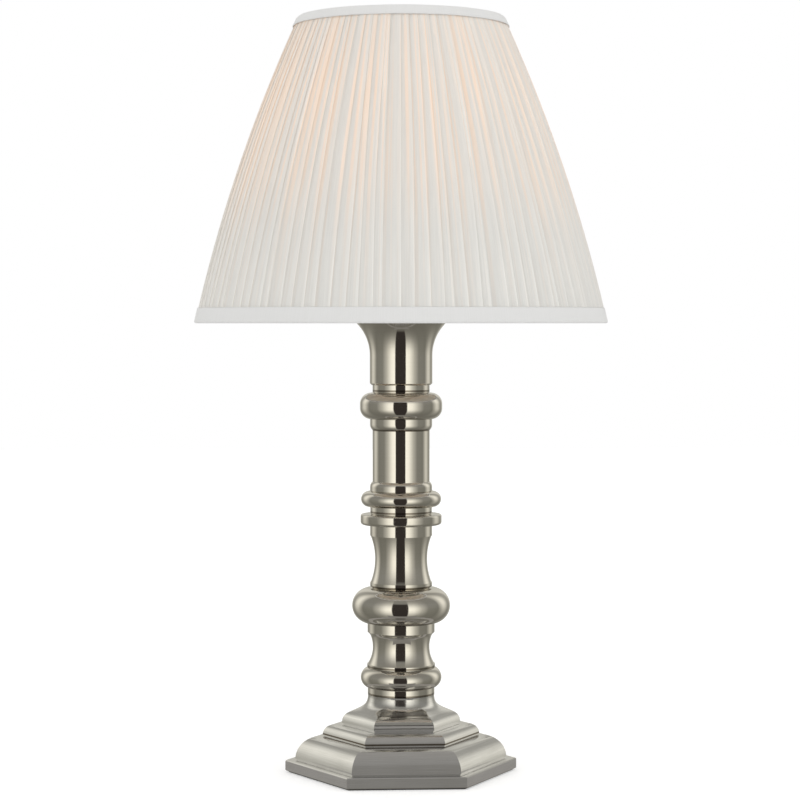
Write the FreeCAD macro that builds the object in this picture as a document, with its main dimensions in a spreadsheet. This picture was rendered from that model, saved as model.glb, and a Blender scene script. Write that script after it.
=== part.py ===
import FreeCAD, Part
import math
import os
from types import SimpleNamespace

import Sketcher

# Candlestick lamp, millimetres, +Z up, origin at the centre of the underside of the felt.
# The front facet of the hexagonal foot faces -Y and two of its corners lie on the X axis.

SIZES = {
    # hexagonal foot, from the felt up
    "felt_thickness": 1.5,
    "felt_inset": 3.0,
    "foot_flats": 201.0,
    "foot_height": 10.7,
    "foot_side_wall": 5.0,
    "foot_top_wall": 3.5,
    "foot_edge_break": 0.9,
    "weight_gap": 0.5,
    "reveal_height": 1.3,
    "reveal_depth": 1.2,
    "cast_wall": 3.5,
    "lower_tier_ledge": 8.7,
    "lower_tier_height": 24.0,
    "middle_tier_inset": 1.0,
    "middle_tier_height": 11.4,
    "upper_tier_inset": 6.7,
    "upper_tier_height": 30.4,
    "upper_tier_neck": 4.0,
    "upper_tier_foot": 2.4,
    # clamp rod and its fastenings
    "rod_radius": 4.95,
    "rod_bore": 3.3,
    "rod_gap": 0.15,
    "washer_radius": 14.0,
    "washer_thickness": 1.6,
    "nut_flats": 16.0,
    "nut_height": 3.6,
    "fastening_recess": 15.0,
    "rod_end_gap": 0.6,
    "rod_top_reach": 6.0,
    # cord inlet
    "bushing_radius": 6.0,
    "bushing_bore": 3.6,
    "bushing_length": 17.3,
    "bushing_proud": 1.6,
    "inlet_height": 9.0,
    "press_gap": 0.05,
    # turned stem
    "end_web": 3.0,
    "turned_wall": 2.5,
    "seam_break": 0.6,
    "base_collar_radius": 33.4,
    "base_collar_height": 7.0,
    "lower_bead_radius": 40.4,
    "lower_bead_height": 20.0,
    "lower_vase_height": 44.5,
    "lower_vase_foot_radius": 34.0,
    "lower_vase_foot_height": 3.5,
    "lower_vase_head_radius": 33.6,
    "lower_vase_head_height": 9.0,
    "lower_vase_bevel": 2.6,
    "lower_vase_waist": 28.4,
    "main_knop_radius": 49.0,
    "main_knop_height": 35.0,
    "upper_vase_height": 63.5,
    "upper_vase_radius": 31.0,
    "upper_vase_foot_height": 5.6,
    "upper_vase_head_height": 11.0,
    "upper_vase_chamfer": 2.0,
    "upper_vase_step": 0.5,
    "upper_vase_waist": 26.0,
    "disc_radius": 40.5,
    "disc_height": 10.5,
    "disc_lower_round": 3.0,
    "disc_upper_round": 2.0,
    "spacer_radius": 30.8,
    "spacer_height": 7.5,
    "upper_bead_radius": 40.0,
    "upper_bead_height": 15.2,
    "column_radius": 28.5,
    "column_height": 51.5,
    "column_wall": 1.6,
    "column_fit": 0.1,
    "spigot_height": 2.0,
    "foot_ring_radius": 31.0,
    "foot_ring_height": 9.8,
    "foot_ring_band": 4.4,
    "head_ring_radius": 31.0,
    "head_ring_height": 11.0,
    "head_ring_band": 5.4,
    "upper_knop_radius": 41.0,
    "upper_knop_height": 26.2,
    "upper_knop_round": 11.0,
    "neck_radius": 28.5,
    "neck_height": 7.8,
    "cup_radius": 31.2,
    "cup_height": 68.0,
    "cup_straight": 29.5,
    "cup_mouth_radius": 52.6,
    "cup_lip": 2.4,
    "cup_wall": 1.8,
    "cup_chamfer": 1.7,
    "cup_cap_inset": 1.2,
    "cup_cap_edge": 1.2,
    "cup_cap_rise": 3.4,
    "cup_cap_flat": 14.0,
    # harp
    "saddle_reach": 26.0,
    "saddle_width": 12.0,
    "saddle_thickness": 1.6,
    "saddle_shoulder": 10.0,
    "saddle_tab_width": 7.0,
    "saddle_tab_height": 8.0,
    "harp_wire_radius": 2.1,
    "harp_leg": 28.0,
    "harp_half_width": 57.0,
    "harp_flare_radius": 60.0,
    "harp_belly_radius": 110.0,
    "harp_side_radius": 250.0,
    "harp_lean": 20.0,
    "harp_crown_radius": 22.0,
    "harp_height": 248.3,
    "sleeve_radius": 6.0,
    "sleeve_bore": 4.7,
    "sleeve_height": 16.0,
    "sleeve_web": 1.5,
    "sleeve_gap": 0.2,
    "seat_radius": 9.0,
    "seat_height": 3.9,
    "stud_radius": 3.1,
    "stud_length": 12.0,
    # lamp socket
    "socket_cap_radius": 17.2,
    "socket_cap_height": 17.0,
    "socket_cap_foot": 9.0,
    "socket_cap_shoulder": 9.0,
    "socket_wall": 0.7,
    "socket_height": 57.0,
    "socket_overlap": 5.0,
    "socket_gap": 0.1,
    "insulator_wall": 0.6,
    "insulator_set_back": 0.5,
    "interior_base": 8.0,
    "interior_height": 23.0,
    "screw_shell_radius": 14.0,
    "screw_shell_wall": 0.4,
    "screw_shell_height": 24.0,
    "contact_radius": 3.2,
    "contact_height": 2.0,
    "switch_height": 19.0,
    "switch_shaft_radius": 1.6,
    "switch_shaft_gap": 0.06,
    "switch_shaft_start": 5.0,
    "switch_shaft_length": 22.0,
    "switch_knob_radius": 5.2,
    "switch_knob_length": 9.0,
    "switch_knob_grip": 4.0,
    # bulb
    "bulb_cap_radius": 13.1,
    "bulb_cap_height": 24.0,
    "bulb_cap_wall": 0.4,
    "bulb_tip_radius": 4.0,
    "bulb_tip_height": 1.0,
    "bulb_radius": 30.0,
    "bulb_height": 82.0,
    "bulb_glass_wall": 0.8,
    "bulb_neck_radius": 13.4,
    "bulb_stem_radius": 5.0,
    "bulb_stem_height": 36.0,
    "filament_radius": 0.5,
    "filament_length": 24.0,
    # shade
    "shade_height": 303.0,
    "shade_bottom_radius": 205.2,
    "shade_bow": 8.8,
    "shade_top_radius": 102.4,
    "pleat_count": 96,
    "pleat_depth": 1.5,
    "pleat_cloth": 0.9,
    "pleat_floor": 1.5,
    "cloth_gap": 0.3,
    "ring_wire_radius": 1.6,
    "rib_wire_radius": 1.2,
    "rib_count": 8,
    "ring_inset": 3.2,
    "lining_thickness": 0.8,
    "lining_top_drop": 6.5,
    "bottom_band_height": 15.0,
    "top_band_height": 9.3,
    "band_thickness": 1.2,
    "fitter_drop": 16.0,
    "hub_radius": 14.0,
    "hub_thickness": 2.0,
    "hub_gap": 0.4,
    "spider_arm_width": 6.0,
    "spider_arm_thickness": 2.4,
    "weld_gap": 0.1,
    # finial
    "finial_height": 20.0,
    "finial_foot_radius": 6.4,
    "finial_neck_radius": 3.8,
    "finial_ball_radius": 6.8,
    "finial_bore_depth": 13.0,
    "finial_thread_gap": 0.05,
}

SPIDER_ARMS = 3
PLEAT_LEVELS = 8
PLEAT_FACE_SHARE = 0.72

doc = FreeCAD.newDocument("candlestick_lamp")
sheet = doc.addObject("Spreadsheet::Sheet", "Sizes")
for row, (alias, number) in enumerate(SIZES.items(), start=1):
    sheet.set(f"A{row}", alias)
    sheet.set(f"B{row}", str(number))
    sheet.setAlias(f"B{row}", alias)
doc.recompute()


# --- sizes that carry their expression ------------------------------------------------------


def text_of(value):
    """The expression text of a size or of a plain number."""
    return value.text if isinstance(value, Size) else repr(float(value))


class Size(float):
    """A length from the sheet, or arithmetic on such lengths, with the expression that keeps it live."""

    def __new__(cls, value, text):
        size = super().__new__(cls, value)
        size.text = text
        return size

    def __add__(self, other):
        return Size(float(self) + float(other), f"({self.text} + {text_of(other)})")

    def __radd__(self, other):
        return Size(float(other) + float(self), f"({text_of(other)} + {self.text})")

    def __sub__(self, other):
        return Size(float(self) - float(other), f"({self.text} - {text_of(other)})")

    def __rsub__(self, other):
        return Size(float(other) - float(self), f"({text_of(other)} - {self.text})")

    def __mul__(self, other):
        return Size(float(self) * float(other), f"({self.text} * {text_of(other)})")

    def __rmul__(self, other):
        return Size(float(other) * float(self), f"({text_of(other)} * {self.text})")

    def __truediv__(self, other):
        return Size(float(self) / float(other), f"({self.text} / {text_of(other)})")

    def __neg__(self):
        return Size(-float(self), f"(0 - {self.text})")


def root(value):
    """Square root of a size."""
    return Size(math.sqrt(value), f"sqrt({text_of(value)})")


def bind(target, path, value):
    """Binds a property to a size's expression."""
    target.setExpression(path, text_of(value))


derived_rows = []


def derived(alias, value):
    """Keeps a worked-out size in the sheet under its own alias, so that expressions stay short."""
    row = len(SIZES) + 2 + len(derived_rows)
    derived_rows.append(alias)
    sheet.set(f"A{row}", alias)
    sheet.set(f"B{row}", "=" + value.text.replace("Sizes.", ""))
    sheet.setAlias(f"B{row}", alias)
    return Size(float(value), "Sizes." + alias)


s = SimpleNamespace(**{alias: Size(float(sheet.get(alias)), "Sizes." + alias) for alias in SIZES})


# --- sketches and features --------------------------------------------------------------------

nodes = []


def place(node, x=None, y=None, z=None):
    """Binds a sub-part's Placement to the sizes that seat it, and lists it for the build."""
    for axis, value in zip("xyz", (x, y, z)):
        if value is not None:
            bind(node, f".Placement.Base.{axis}", value)
    nodes.append(node)
    return node


def origin_plane(body, role):
    """One of a body's own origin planes."""
    return next(item for item in body.Origin.OriginFeatures if item.Role == role)


def arc_geometry(start, middle, end):
    """A sketch arc through three points, and whether it runs clockwise from start to end."""
    circle = Part.Circle(*[FreeCAD.Vector(*point, 0) for point in (start, middle, end)])
    centre = circle.Center
    turn = (middle[0] - start[0]) * (end[1] - start[1]) - (middle[1] - start[1]) * (end[0] - start[0])
    clockwise = turn < 0
    first, last = (end, start) if clockwise else (start, end)
    angles = [math.atan2(point[1] - centre.y, point[0] - centre.x) for point in (first, last)]
    if angles[1] <= angles[0]:
        angles[1] += 2 * math.pi
    full = Part.Circle(FreeCAD.Vector(centre.x, centre.y, 0), FreeCAD.Vector(0, 0, 1), circle.Radius)
    return Part.ArcOfCircle(full, angles[0], angles[1]), clockwise


def fix_point(constraints, geometry, vertex, point):
    """Ties a sketch point to its two sizes; a plain zero puts it on the axis."""
    for kind, value, axis in (("DistanceX", point[0], -2), ("DistanceY", point[1], -1)):
        if isinstance(value, Size):
            constraints.append((Sketcher.Constraint(kind, -1, 1, geometry, vertex, float(value)), value))
        else:
            constraints.append((Sketcher.Constraint("PointOnObject", geometry, vertex, axis), None))


def draw_outline(sketch, outline):
    """Draws a closed outline of corners (x, y). A corner written (mx, my, x, y) is reached by an arc
    through (mx, my). Every corner and arc point is fixed by its sizes."""
    corners = [tuple(item[-2:]) for item in outline]
    edges = []
    constraints = []
    for index, item in enumerate(outline):
        start = corners[index - 1]
        end = corners[index]
        if len(item) == 2:
            line = Part.LineSegment(FreeCAD.Vector(*start, 0), FreeCAD.Vector(*end, 0))
            edges.append((sketch.addGeometry(line), 1, 2))
            continue
        arc, clockwise = arc_geometry(start, item[:2], end)
        geometry = sketch.addGeometry(arc)
        edges.append((geometry, 2, 1) if clockwise else (geometry, 1, 2))
        point = sketch.addGeometry(Part.Point(FreeCAD.Vector(*item[:2], 0)), True)
        fix_point(constraints, point, 1, item[:2])
        constraints.append((Sketcher.Constraint("PointOnObject", point, 1, geometry), None))
    for index, (geometry, first, last) in enumerate(edges):
        follower, follower_first, _ = edges[(index + 1) % len(edges)]
        joint = Sketcher.Constraint("Coincident", geometry, last, follower, follower_first)
        constraints.append((joint, None))
        fix_point(constraints, geometry, last, corners[index])
    sketch.addConstraint([constraint for constraint, _ in constraints])
    for index, (_, value) in enumerate(constraints):
        if value is not None:
            bind(sketch, f"Constraints[{index}]", value)


def body_sketch(body, role, outline, suffix):
    """A closed sketch on one of the body's origin planes."""
    sketch = body.newObject("Sketcher::SketchObject", f"{body.Name}_{suffix}")
    sketch.AttachmentSupport = [(origin_plane(body, role), "")]
    sketch.MapMode = "FlatFace"
    draw_outline(sketch, outline)
    return sketch


def turned(name, outline, x=None, y=None, z=None):
    """A sub-part turned about its own Z axis; the outline is (radius, height)."""
    body = doc.addObject("PartDesign::Body", name)
    sketch = body_sketch(body, "XZ_Plane", outline, "profile")
    turning = body.newObject("PartDesign::Revolution", f"{name}_turning")
    turning.Profile = sketch
    turning.ReferenceAxis = (sketch, ["V_Axis"])
    turning.Angle = 360
    return place(body, x, y, z)


def primitive(body, kind, name, z=None, **sizes):
    """A PartDesign primitive on the body's axis, raised by z."""
    feature = body.newObject(f"PartDesign::{kind}", f"{body.Name}_{name}")
    if "Prism" in kind:
        feature.Polygon = 6
    for prop, value in sizes.items():
        bind(feature, prop, value)
    if z is not None:
        feature.AttachmentSupport = [(origin_plane(body, "XY_Plane"), "")]
        feature.MapMode = "FlatFace"
        bind(feature, ".AttachmentOffset.Base.z", z)
    return feature


def plane_sketch(name, outline, angle):
    """A free sketch that stands upright, its X axis turned by angle from +Y about the vertical."""
    sketch = doc.addObject("Sketcher::SketchObject", name)
    upright = FreeCAD.Rotation(FreeCAD.Vector(0, 1, 0), FreeCAD.Vector(0, 0, 1), FreeCAD.Vector(1, 0, 0))
    turn = FreeCAD.Rotation(FreeCAD.Vector(0, 0, 1), angle)
    sketch.Placement = FreeCAD.Placement(FreeCAD.Vector(), turn * upright)
    draw_outline(sketch, outline)
    return sketch


def six_sided(name, outline, length):
    """A hexagonal moulding with mitred arrises: three equal bars of one section, crossed at 60
    degrees, have it in common."""
    bars = []
    for angle in (0, 60, 120):
        bar = doc.addObject("Part::Extrusion", f"{name}_bar_{angle}")
        bar.Base = plane_sketch(f"{name}_section_{angle}", outline, angle)
        bar.DirMode = "Normal"
        bar.Solid = True
        bar.Symmetric = True
        bind(bar, "LengthFwd", length)
        bars.append(bar)
    common = doc.addObject("Part::MultiCommon", f"{name}_mitred")
    common.Shapes = bars
    return common


def mirrored(half):
    """A closed outline from its right half, listed from the lower to the upper corner."""
    left = []
    corners = [item[-2:] for item in half]
    for index in range(len(half) - 1, -1, -1):
        after = half[index + 1] if index + 1 < len(half) else None
        x, y = corners[index]
        if after is not None and len(after) == 4:
            left.append((-after[0], after[1], -x, y))
        else:
            left.append((-x, y))
    return half + left


def quarter(start, end, centre):
    """The corner `end` reached by a quarter round from `start` about `centre`."""
    reach = math.sqrt(0.5)
    middle = [c + (a - c + b - c) * reach for a, b, c in zip(start, end, centre)]
    return (middle[0], middle[1], end[0], end[1])


def flare(start, end):
    """The corner `end` reached by an arc that leaves `start` straight up."""
    out = end[0] - start[0]
    up = end[1] - start[1]
    chord = root(out * out + up * up)
    return (start[0] + chord / 2 * out / (up + chord), start[1] + chord / 2, end[0], end[1])


def hollow(height, cavity):
    """The inner side of a turned shell, listed downwards: bore, top web, cavity, lower web."""
    return [
        (bore, height),
        (bore, height - s.end_web),
        (cavity, height - s.end_web),
        (cavity, s.end_web),
        (bore, s.end_web),
    ]


# --- levels up the stack -------------------------------------------------------------------------

bore = derived("stem_bore", s.rod_radius + s.rod_gap)
lower_tier_level = derived("lower_tier_level", s.felt_thickness + s.foot_height)
middle_tier_level = derived("middle_tier_level", lower_tier_level + s.lower_tier_height)
upper_tier_level = derived("upper_tier_level", middle_tier_level + s.middle_tier_height)
stem_level = derived("stem_level", upper_tier_level + s.upper_tier_height)
corner_ratio = 2 / math.sqrt(3)

# Each tier stands inside the flat crown of the one below.
lower_side = derived("lower_tier_side", s.foot_flats / 2 - s.lower_tier_ledge)
lower_crown = lower_side - (s.lower_tier_height - s.reveal_height)
middle_side = derived("middle_tier_side", lower_crown - s.middle_tier_inset)
middle_crown = middle_side - (s.middle_tier_height - s.reveal_height)
upper_side = derived("upper_tier_side", middle_crown - s.upper_tier_inset)


# --- felt, foot plate and weight -----------------------------------------------------------------

felt = doc.addObject("PartDesign::Body", "felt_pad")
felt_corner = (s.foot_flats / 2 - s.felt_inset) * corner_ratio
primitive(felt, "AdditivePrism", "sheet", Circumradius=felt_corner, Height=s.felt_thickness)
place(felt)

foot = doc.addObject("PartDesign::Body", "foot_plate")
foot_corner = s.foot_flats / 2 * corner_ratio
slab = primitive(foot, "AdditivePrism", "slab", Circumradius=foot_corner, Height=s.foot_height)
doc.recompute()
rim_edges = []
for index, edge in enumerate(slab.Shape.Edges, start=1):
    if edge.BoundBox.ZLength < s.foot_height / 2:
        rim_edges.append(f"Edge{index}")
bevel = foot.newObject("PartDesign::Chamfer", "foot_plate_edge_break")
bevel.Base = (slab, rim_edges)
bind(bevel, "Size", s.foot_edge_break)
pan_corner = (s.foot_flats / 2 - s.foot_side_wall) * corner_ratio
pan_depth = s.foot_height - s.foot_top_wall
primitive(foot, "SubtractivePrism", "pan", Circumradius=pan_corner, Height=pan_depth)
primitive(foot, "SubtractiveCylinder", "bore", Radius=bore, Height=s.foot_height)
place(foot, z=s.felt_thickness)

weight = doc.addObject("PartDesign::Body", "base_weight")
weight_corner = (s.foot_flats / 2 - s.foot_side_wall - s.weight_gap) * corner_ratio
primitive(weight, "AdditivePrism", "casting", Circumradius=weight_corner, Height=pan_depth)
recess_depth = s.washer_thickness + s.nut_height + s.rod_end_gap
primitive(weight, "SubtractiveCylinder", "recess", Radius=s.fastening_recess, Height=recess_depth)
primitive(weight, "SubtractiveCylinder", "bore", Radius=bore, Height=pan_depth)
place(weight, z=s.felt_thickness)

nut_level = s.felt_thickness + s.rod_end_gap
nut_corner = s.nut_flats / 2 * corner_ratio


def hexagon_nut(name, level):
    """A plain hexagon nut on the rod."""
    nut = doc.addObject("PartDesign::Body", name)
    primitive(nut, "AdditivePrism", "blank", Circumradius=nut_corner, Height=s.nut_height)
    primitive(nut, "SubtractiveCylinder", "thread", Radius=s.rod_radius + s.press_gap, Height=s.nut_height)
    return place(nut, z=level)


hexagon_nut("rod_lock_nut", nut_level)
turned(
    "rod_washer",
    [
        (bore, 0),
        (s.washer_radius, 0),
        (s.washer_radius, s.washer_thickness),
        (bore, s.washer_thickness),
    ],
    z=nut_level + s.nut_height,
)


# --- hexagonal tiers -----------------------------------------------------------------------------


def quarter_round_tier(name, side, height, level):
    """A hollow hexagonal quarter-round moulding that stands on a set-back reveal."""
    sweep = height - s.reveal_height
    crown = (side - sweep, height)
    outer = mirrored([
        (side - s.reveal_depth, 0),
        (side - s.reveal_depth, s.reveal_height),
        (side, s.reveal_height),
        quarter((side, s.reveal_height), crown, (side - sweep, s.reveal_height)),
    ])
    inner_side = side - s.reveal_depth - s.cast_wall
    inner_sweep = sweep - s.cast_wall
    inner_start = (inner_side, s.reveal_height)
    inner_crown = (inner_side - inner_sweep, height - s.cast_wall)
    inner = mirrored([
        (inner_side, 0),
        inner_start,
        quarter(inner_start, inner_crown, (inner_side - inner_sweep, s.reveal_height)),
    ])
    shell = doc.addObject("Part::Cut", f"{name}_shell")
    shell.Base = six_sided(f"{name}_outer", outer, side * 4)
    shell.Tool = six_sided(f"{name}_inner", inner, side * 4)
    drill = doc.addObject("Part::Cylinder", f"{name}_rod_hole")
    bind(drill, "Radius", bore)
    bind(drill, "Height", height * 2)
    tier = doc.addObject("Part::Cut", name)
    tier.Base = shell
    tier.Tool = drill
    bind(tier, ".Placement.Base.z", level)
    return tier


plain_tier = quarter_round_tier("lower_tier_blank", lower_side, s.lower_tier_height, lower_tier_level)
middle_tier = quarter_round_tier(
    "base_tier_middle", middle_side, s.middle_tier_height, middle_tier_level
)
nodes.append(middle_tier)

# The cord inlet goes through the rear facet of the lower tier.
inlet_level = lower_tier_level + s.inlet_height
inlet_mouth = lower_side + s.bushing_proud
inlet_start = inlet_mouth - s.bushing_length
facing_back = FreeCAD.Rotation(FreeCAD.Vector(1, 0, 0), -90)
inlet_drill = doc.addObject("Part::Cylinder", "cord_inlet_drill")
inlet_drill.Placement.Rotation = facing_back
bind(inlet_drill, "Radius", s.bushing_radius + s.press_gap)
bind(inlet_drill, "Height", s.bushing_length)
bind(inlet_drill, ".Placement.Base.y", inlet_start)
bind(inlet_drill, ".Placement.Base.z", inlet_level)
drilled_tier = doc.addObject("Part::Cut", "base_tier_lower")
drilled_tier.Base = plain_tier
drilled_tier.Tool = inlet_drill
place(drilled_tier)

bushing = turned(
    "cord_bushing",
    [
        (s.bushing_bore, 0),
        (s.bushing_radius, 0),
        (s.bushing_radius, s.bushing_length - s.seam_break),
        (s.bushing_radius - s.seam_break, s.bushing_length),
        (s.bushing_bore, s.bushing_length),
    ],
    y=inlet_start,
    z=inlet_level,
)
bushing.Placement.Rotation = facing_back


def tier_section(height, corner_radius, roundness):
    """One level of the upper tier: six equal edges that bow from straight (0) to a circle (1)."""
    handle = 4 / 3 * math.tan(math.pi / 12) * corner_radius
    edges = []
    for side in range(6):
        ends = []
        for turn in (side, side + 1):
            angle = math.radians(60 * turn)
            ends.append(FreeCAD.Vector(math.cos(angle), math.sin(angle), 0))
        first, last = (end * corner_radius + FreeCAD.Vector(0, 0, height) for end in ends)
        along_first = FreeCAD.Vector(-ends[0].y, ends[0].x, 0) * handle
        along_last = FreeCAD.Vector(ends[1].y, -ends[1].x, 0) * handle
        straight = (last - first) / 3
        poles = [
            first,
            first + along_first * roundness + straight * (1 - roundness),
            last + along_last * roundness - straight * (1 - roundness),
            last,
        ]
        curve = Part.BezierCurve()
        curve.setPoles(poles)
        edges.append(curve.toShape())
    return Part.Wire(edges)


def upper_tier_shape():
    """Ogee from a round neck down to a hexagonal foot. The corner line is a cove and a crown of
    equal turn, and the sides flatten as it comes down."""
    foot_radius = upper_side * corner_ratio
    neck_radius = s.base_collar_radius
    spread = foot_radius - neck_radius
    neck_low = s.upper_tier_height - s.upper_tier_neck
    foot_high = s.reveal_height + s.upper_tier_foot
    drop = neck_low - foot_high
    steepness, levels = 2.1, 9
    flat_from, flat_over = 0.12, 0.6
    sections = [tier_section(s.upper_tier_height, neck_radius, 1)]
    for level in range(levels):
        share = level / (levels - 1)
        centred = 2 * share - 1
        blend = 0.5 + 0.5 * math.tanh(steepness * centred) / math.tanh(steepness)
        height = neck_low - drop * share
        flattening = min(1, max(0, (share - flat_from) / flat_over))
        roundness = 1 - flattening * flattening * (3 - 2 * flattening)
        sections.append(tier_section(height, neck_radius + spread * blend, roundness))
    sections.append(tier_section(s.reveal_height, foot_radius, 0))
    outer = Part.makeLoft(sections, True, False)
    reveal_radius = foot_radius - s.reveal_depth * corner_ratio
    reveal = Part.Face(tier_section(0, reveal_radius, 0)).extrude(FreeCAD.Vector(0, 0, s.reveal_height))
    body = outer.fuse(reveal)
    cavity_top = neck_radius - s.cast_wall
    cavity_foot = upper_side - s.reveal_depth - s.cast_wall
    lower = Part.makeCone(cavity_foot, cavity_top, drop * 0.5)
    upper = Part.makeCylinder(cavity_top, s.upper_tier_height - s.cast_wall)
    hole = Part.makeCylinder(bore, s.upper_tier_height)
    return body.cut([lower, upper, hole])


def set_shape(name, shape):
    """A sub-part whose shape is made directly from the sheet's sizes."""
    part = doc.addObject("Part::Feature", name)
    part.Shape = shape
    return part


place(set_shape("base_tier_upper", upper_tier_shape()), z=upper_tier_level)


# --- turned stem: each piece gives its height and its outline ---------------------------------------


def ring(radius, height):
    """A plain ring with a lightly broken lower edge."""
    return [
        (bore, 0),
        (radius - s.seam_break, 0),
        (radius, s.seam_break),
        (radius, height),
        (bore, height),
    ]


def bead(end_radius, crest_radius, height):
    """A bead whose side is one arc."""
    outline = [(bore, 0), (end_radius, 0), (crest_radius, height / 2, end_radius, height)]
    return outline + hollow(height, end_radius - s.turned_wall)


def lower_vase():
    height = s.lower_vase_height
    shoulder = height - s.lower_vase_head_height
    waist_foot = (s.lower_vase_foot_radius - s.seam_break, s.lower_vase_foot_height)
    waist_head = (s.lower_vase_head_radius - s.lower_vase_bevel, shoulder - s.lower_vase_bevel)
    waist_level = (waist_foot[1] + waist_head[1]) / 2
    return [
        (bore, 0),
        (s.lower_vase_foot_radius, 0),
        (s.lower_vase_foot_radius, s.lower_vase_foot_height),
        waist_foot,
        (s.lower_vase_waist, waist_level, *waist_head),
        (s.lower_vase_head_radius, shoulder),
        (s.lower_vase_head_radius, height),
    ] + hollow(height, s.lower_vase_waist - s.turned_wall)


def main_knop():
    height = s.main_knop_height
    end_radius = s.main_knop_radius - height / 2
    crest = s.main_knop_radius - s.turned_wall
    return [
        (bore, 0),
        (end_radius, 0),
        (s.main_knop_radius, height / 2, end_radius, height),
        (bore, height),
        (bore, height - s.turned_wall),
        (end_radius, height - s.turned_wall),
        (crest, height / 2, end_radius, s.turned_wall),
        (bore, s.turned_wall),
    ]


def upper_vase():
    height = s.upper_vase_height
    waist_radius = s.upper_vase_radius - s.upper_vase_step
    waist_head = height - s.upper_vase_head_height
    return [
        (bore, 0),
        (s.upper_vase_radius - s.upper_vase_chamfer, 0),
        (s.upper_vase_radius, s.upper_vase_chamfer),
        (s.upper_vase_radius, s.upper_vase_foot_height),
        (waist_radius, s.upper_vase_foot_height),
        (s.upper_vase_waist, (s.upper_vase_foot_height + waist_head) / 2, waist_radius, waist_head),
        (s.upper_vase_radius, waist_head),
        (s.upper_vase_radius, height),
    ] + hollow(height, s.upper_vase_waist - s.turned_wall)


def disc_flange():
    low = s.disc_lower_round
    high = s.disc_upper_round
    top = s.disc_height
    rim = s.disc_radius
    return [
        (bore, 0),
        (rim - low, 0),
        quarter((rim - low, 0), (rim, low), (rim - low, low)),
        (rim, top - high),
        quarter((rim, top - high), (rim - high, top), (rim - high, top - high)),
    ] + hollow(top, rim - low - s.turned_wall)


def foot_ring():
    height = s.foot_ring_height
    spigot = s.column_radius - s.column_wall - s.column_fit
    return [
        (bore, 0),
        (s.foot_ring_radius - s.seam_break, 0),
        (s.foot_ring_radius, s.seam_break),
        (s.foot_ring_radius, s.foot_ring_band),
        (
            s.foot_ring_radius - (s.foot_ring_radius - s.column_radius) * 0.3,
            s.foot_ring_band + (height - s.foot_ring_band) * 0.6,
            s.column_radius,
            height,
        ),
        (spigot, height),
        (spigot, height + s.spigot_height),
        (bore, height + s.spigot_height),
    ]


def column_tube():
    inside = s.column_radius - s.column_wall
    return [
        (inside, 0),
        (s.column_radius, 0),
        (s.column_radius, s.column_height),
        (inside, s.column_height),
    ]


def head_ring():
    height = s.head_ring_height
    spigot = s.column_radius - s.column_wall - s.column_fit
    band_foot = height - s.head_ring_band
    return [
        (bore, -s.spigot_height),
        (spigot, -s.spigot_height),
        (spigot, 0),
        (s.column_radius, 0),
        (
            s.head_ring_radius - (s.head_ring_radius - s.column_radius) * 0.3,
            band_foot * 0.4,
            s.head_ring_radius,
            band_foot,
        ),
        (s.head_ring_radius, height),
        (bore, height),
    ]


def upper_knop():
    height = s.upper_knop_height
    corner = s.upper_knop_round
    rim = s.upper_knop_radius
    end_radius = rim - corner
    return [
        (bore, 0),
        (end_radius, 0),
        quarter((end_radius, 0), (rim, corner), (end_radius, corner)),
        (rim, height - corner),
        quarter((rim, height - corner), (end_radius, height), (end_radius, height - corner)),
    ] + hollow(height, end_radius - s.turned_wall)


def candle_cup():
    lip = s.cup_mouth_radius - s.cup_lip
    inside = s.cup_radius - s.cup_wall
    inner_mid = flare((inside, s.cup_straight), (lip, s.cup_height))[:2]
    return [
        (bore, 0),
        (s.cup_radius - s.cup_chamfer, 0),
        (s.cup_radius, s.cup_chamfer),
        (s.cup_radius, s.cup_straight),
        flare((s.cup_radius, s.cup_straight), (s.cup_mouth_radius, s.cup_height)),
        (lip, s.cup_height),
        (*inner_mid, inside, s.cup_straight),
        (inside, s.end_web),
        (bore, s.end_web),
    ]


STEM = [
    ("base_collar", s.base_collar_height, ring(s.base_collar_radius, s.base_collar_height)),
    ("lower_bead", s.lower_bead_height,
     bead(s.base_collar_radius, s.lower_bead_radius, s.lower_bead_height)),
    ("lower_vase", s.lower_vase_height, lower_vase()),
    ("main_knop", s.main_knop_height, main_knop()),
    ("upper_vase", s.upper_vase_height, upper_vase()),
    ("disc_flange", s.disc_height, disc_flange()),
    ("spacer_ring", s.spacer_height, ring(s.spacer_radius, s.spacer_height)),
    ("upper_bead", s.upper_bead_height,
     bead(s.upper_bead_radius - s.upper_bead_height / 2, s.upper_bead_radius, s.upper_bead_height)),
    ("column_foot_ring", s.foot_ring_height, foot_ring()),
    ("column_tube", s.column_height, column_tube()),
    ("column_head_ring", s.head_ring_height, head_ring()),
    ("upper_knop", s.upper_knop_height, upper_knop()),
    ("neck_ring", s.neck_height, ring(s.neck_radius, s.neck_height)),
    ("candle_cup", s.cup_height, candle_cup()),
]

level = stem_level
for name, height, outline in STEM:
    turned(name, outline, z=level)
    level = derived(f"{name}_top", level + height)


# --- cup cap, nut, rod -----------------------------------------------------------------------------

cap_radius = s.cup_mouth_radius - s.cup_cap_inset
cap_lip = cap_radius - s.cup_lip
cap_top = s.cup_cap_rise + s.cup_cap_edge
turned(
    "cup_cap",
    [
        (bore, s.cup_cap_rise),
        (s.cup_cap_flat, s.cup_cap_rise),
        (cap_lip, 0),
        (cap_radius, 0),
        (cap_radius, s.cup_cap_edge),
        (s.cup_cap_flat, cap_top),
        (bore, cap_top),
    ],
    z=level,
)
cap_level = derived("cup_nut_level", level + cap_top)
hexagon_nut("cup_lock_nut", cap_level)
saddle_level = derived("saddle_level", cap_level + s.nut_height)
socket_level = derived("socket_level", saddle_level + s.saddle_thickness)

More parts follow.
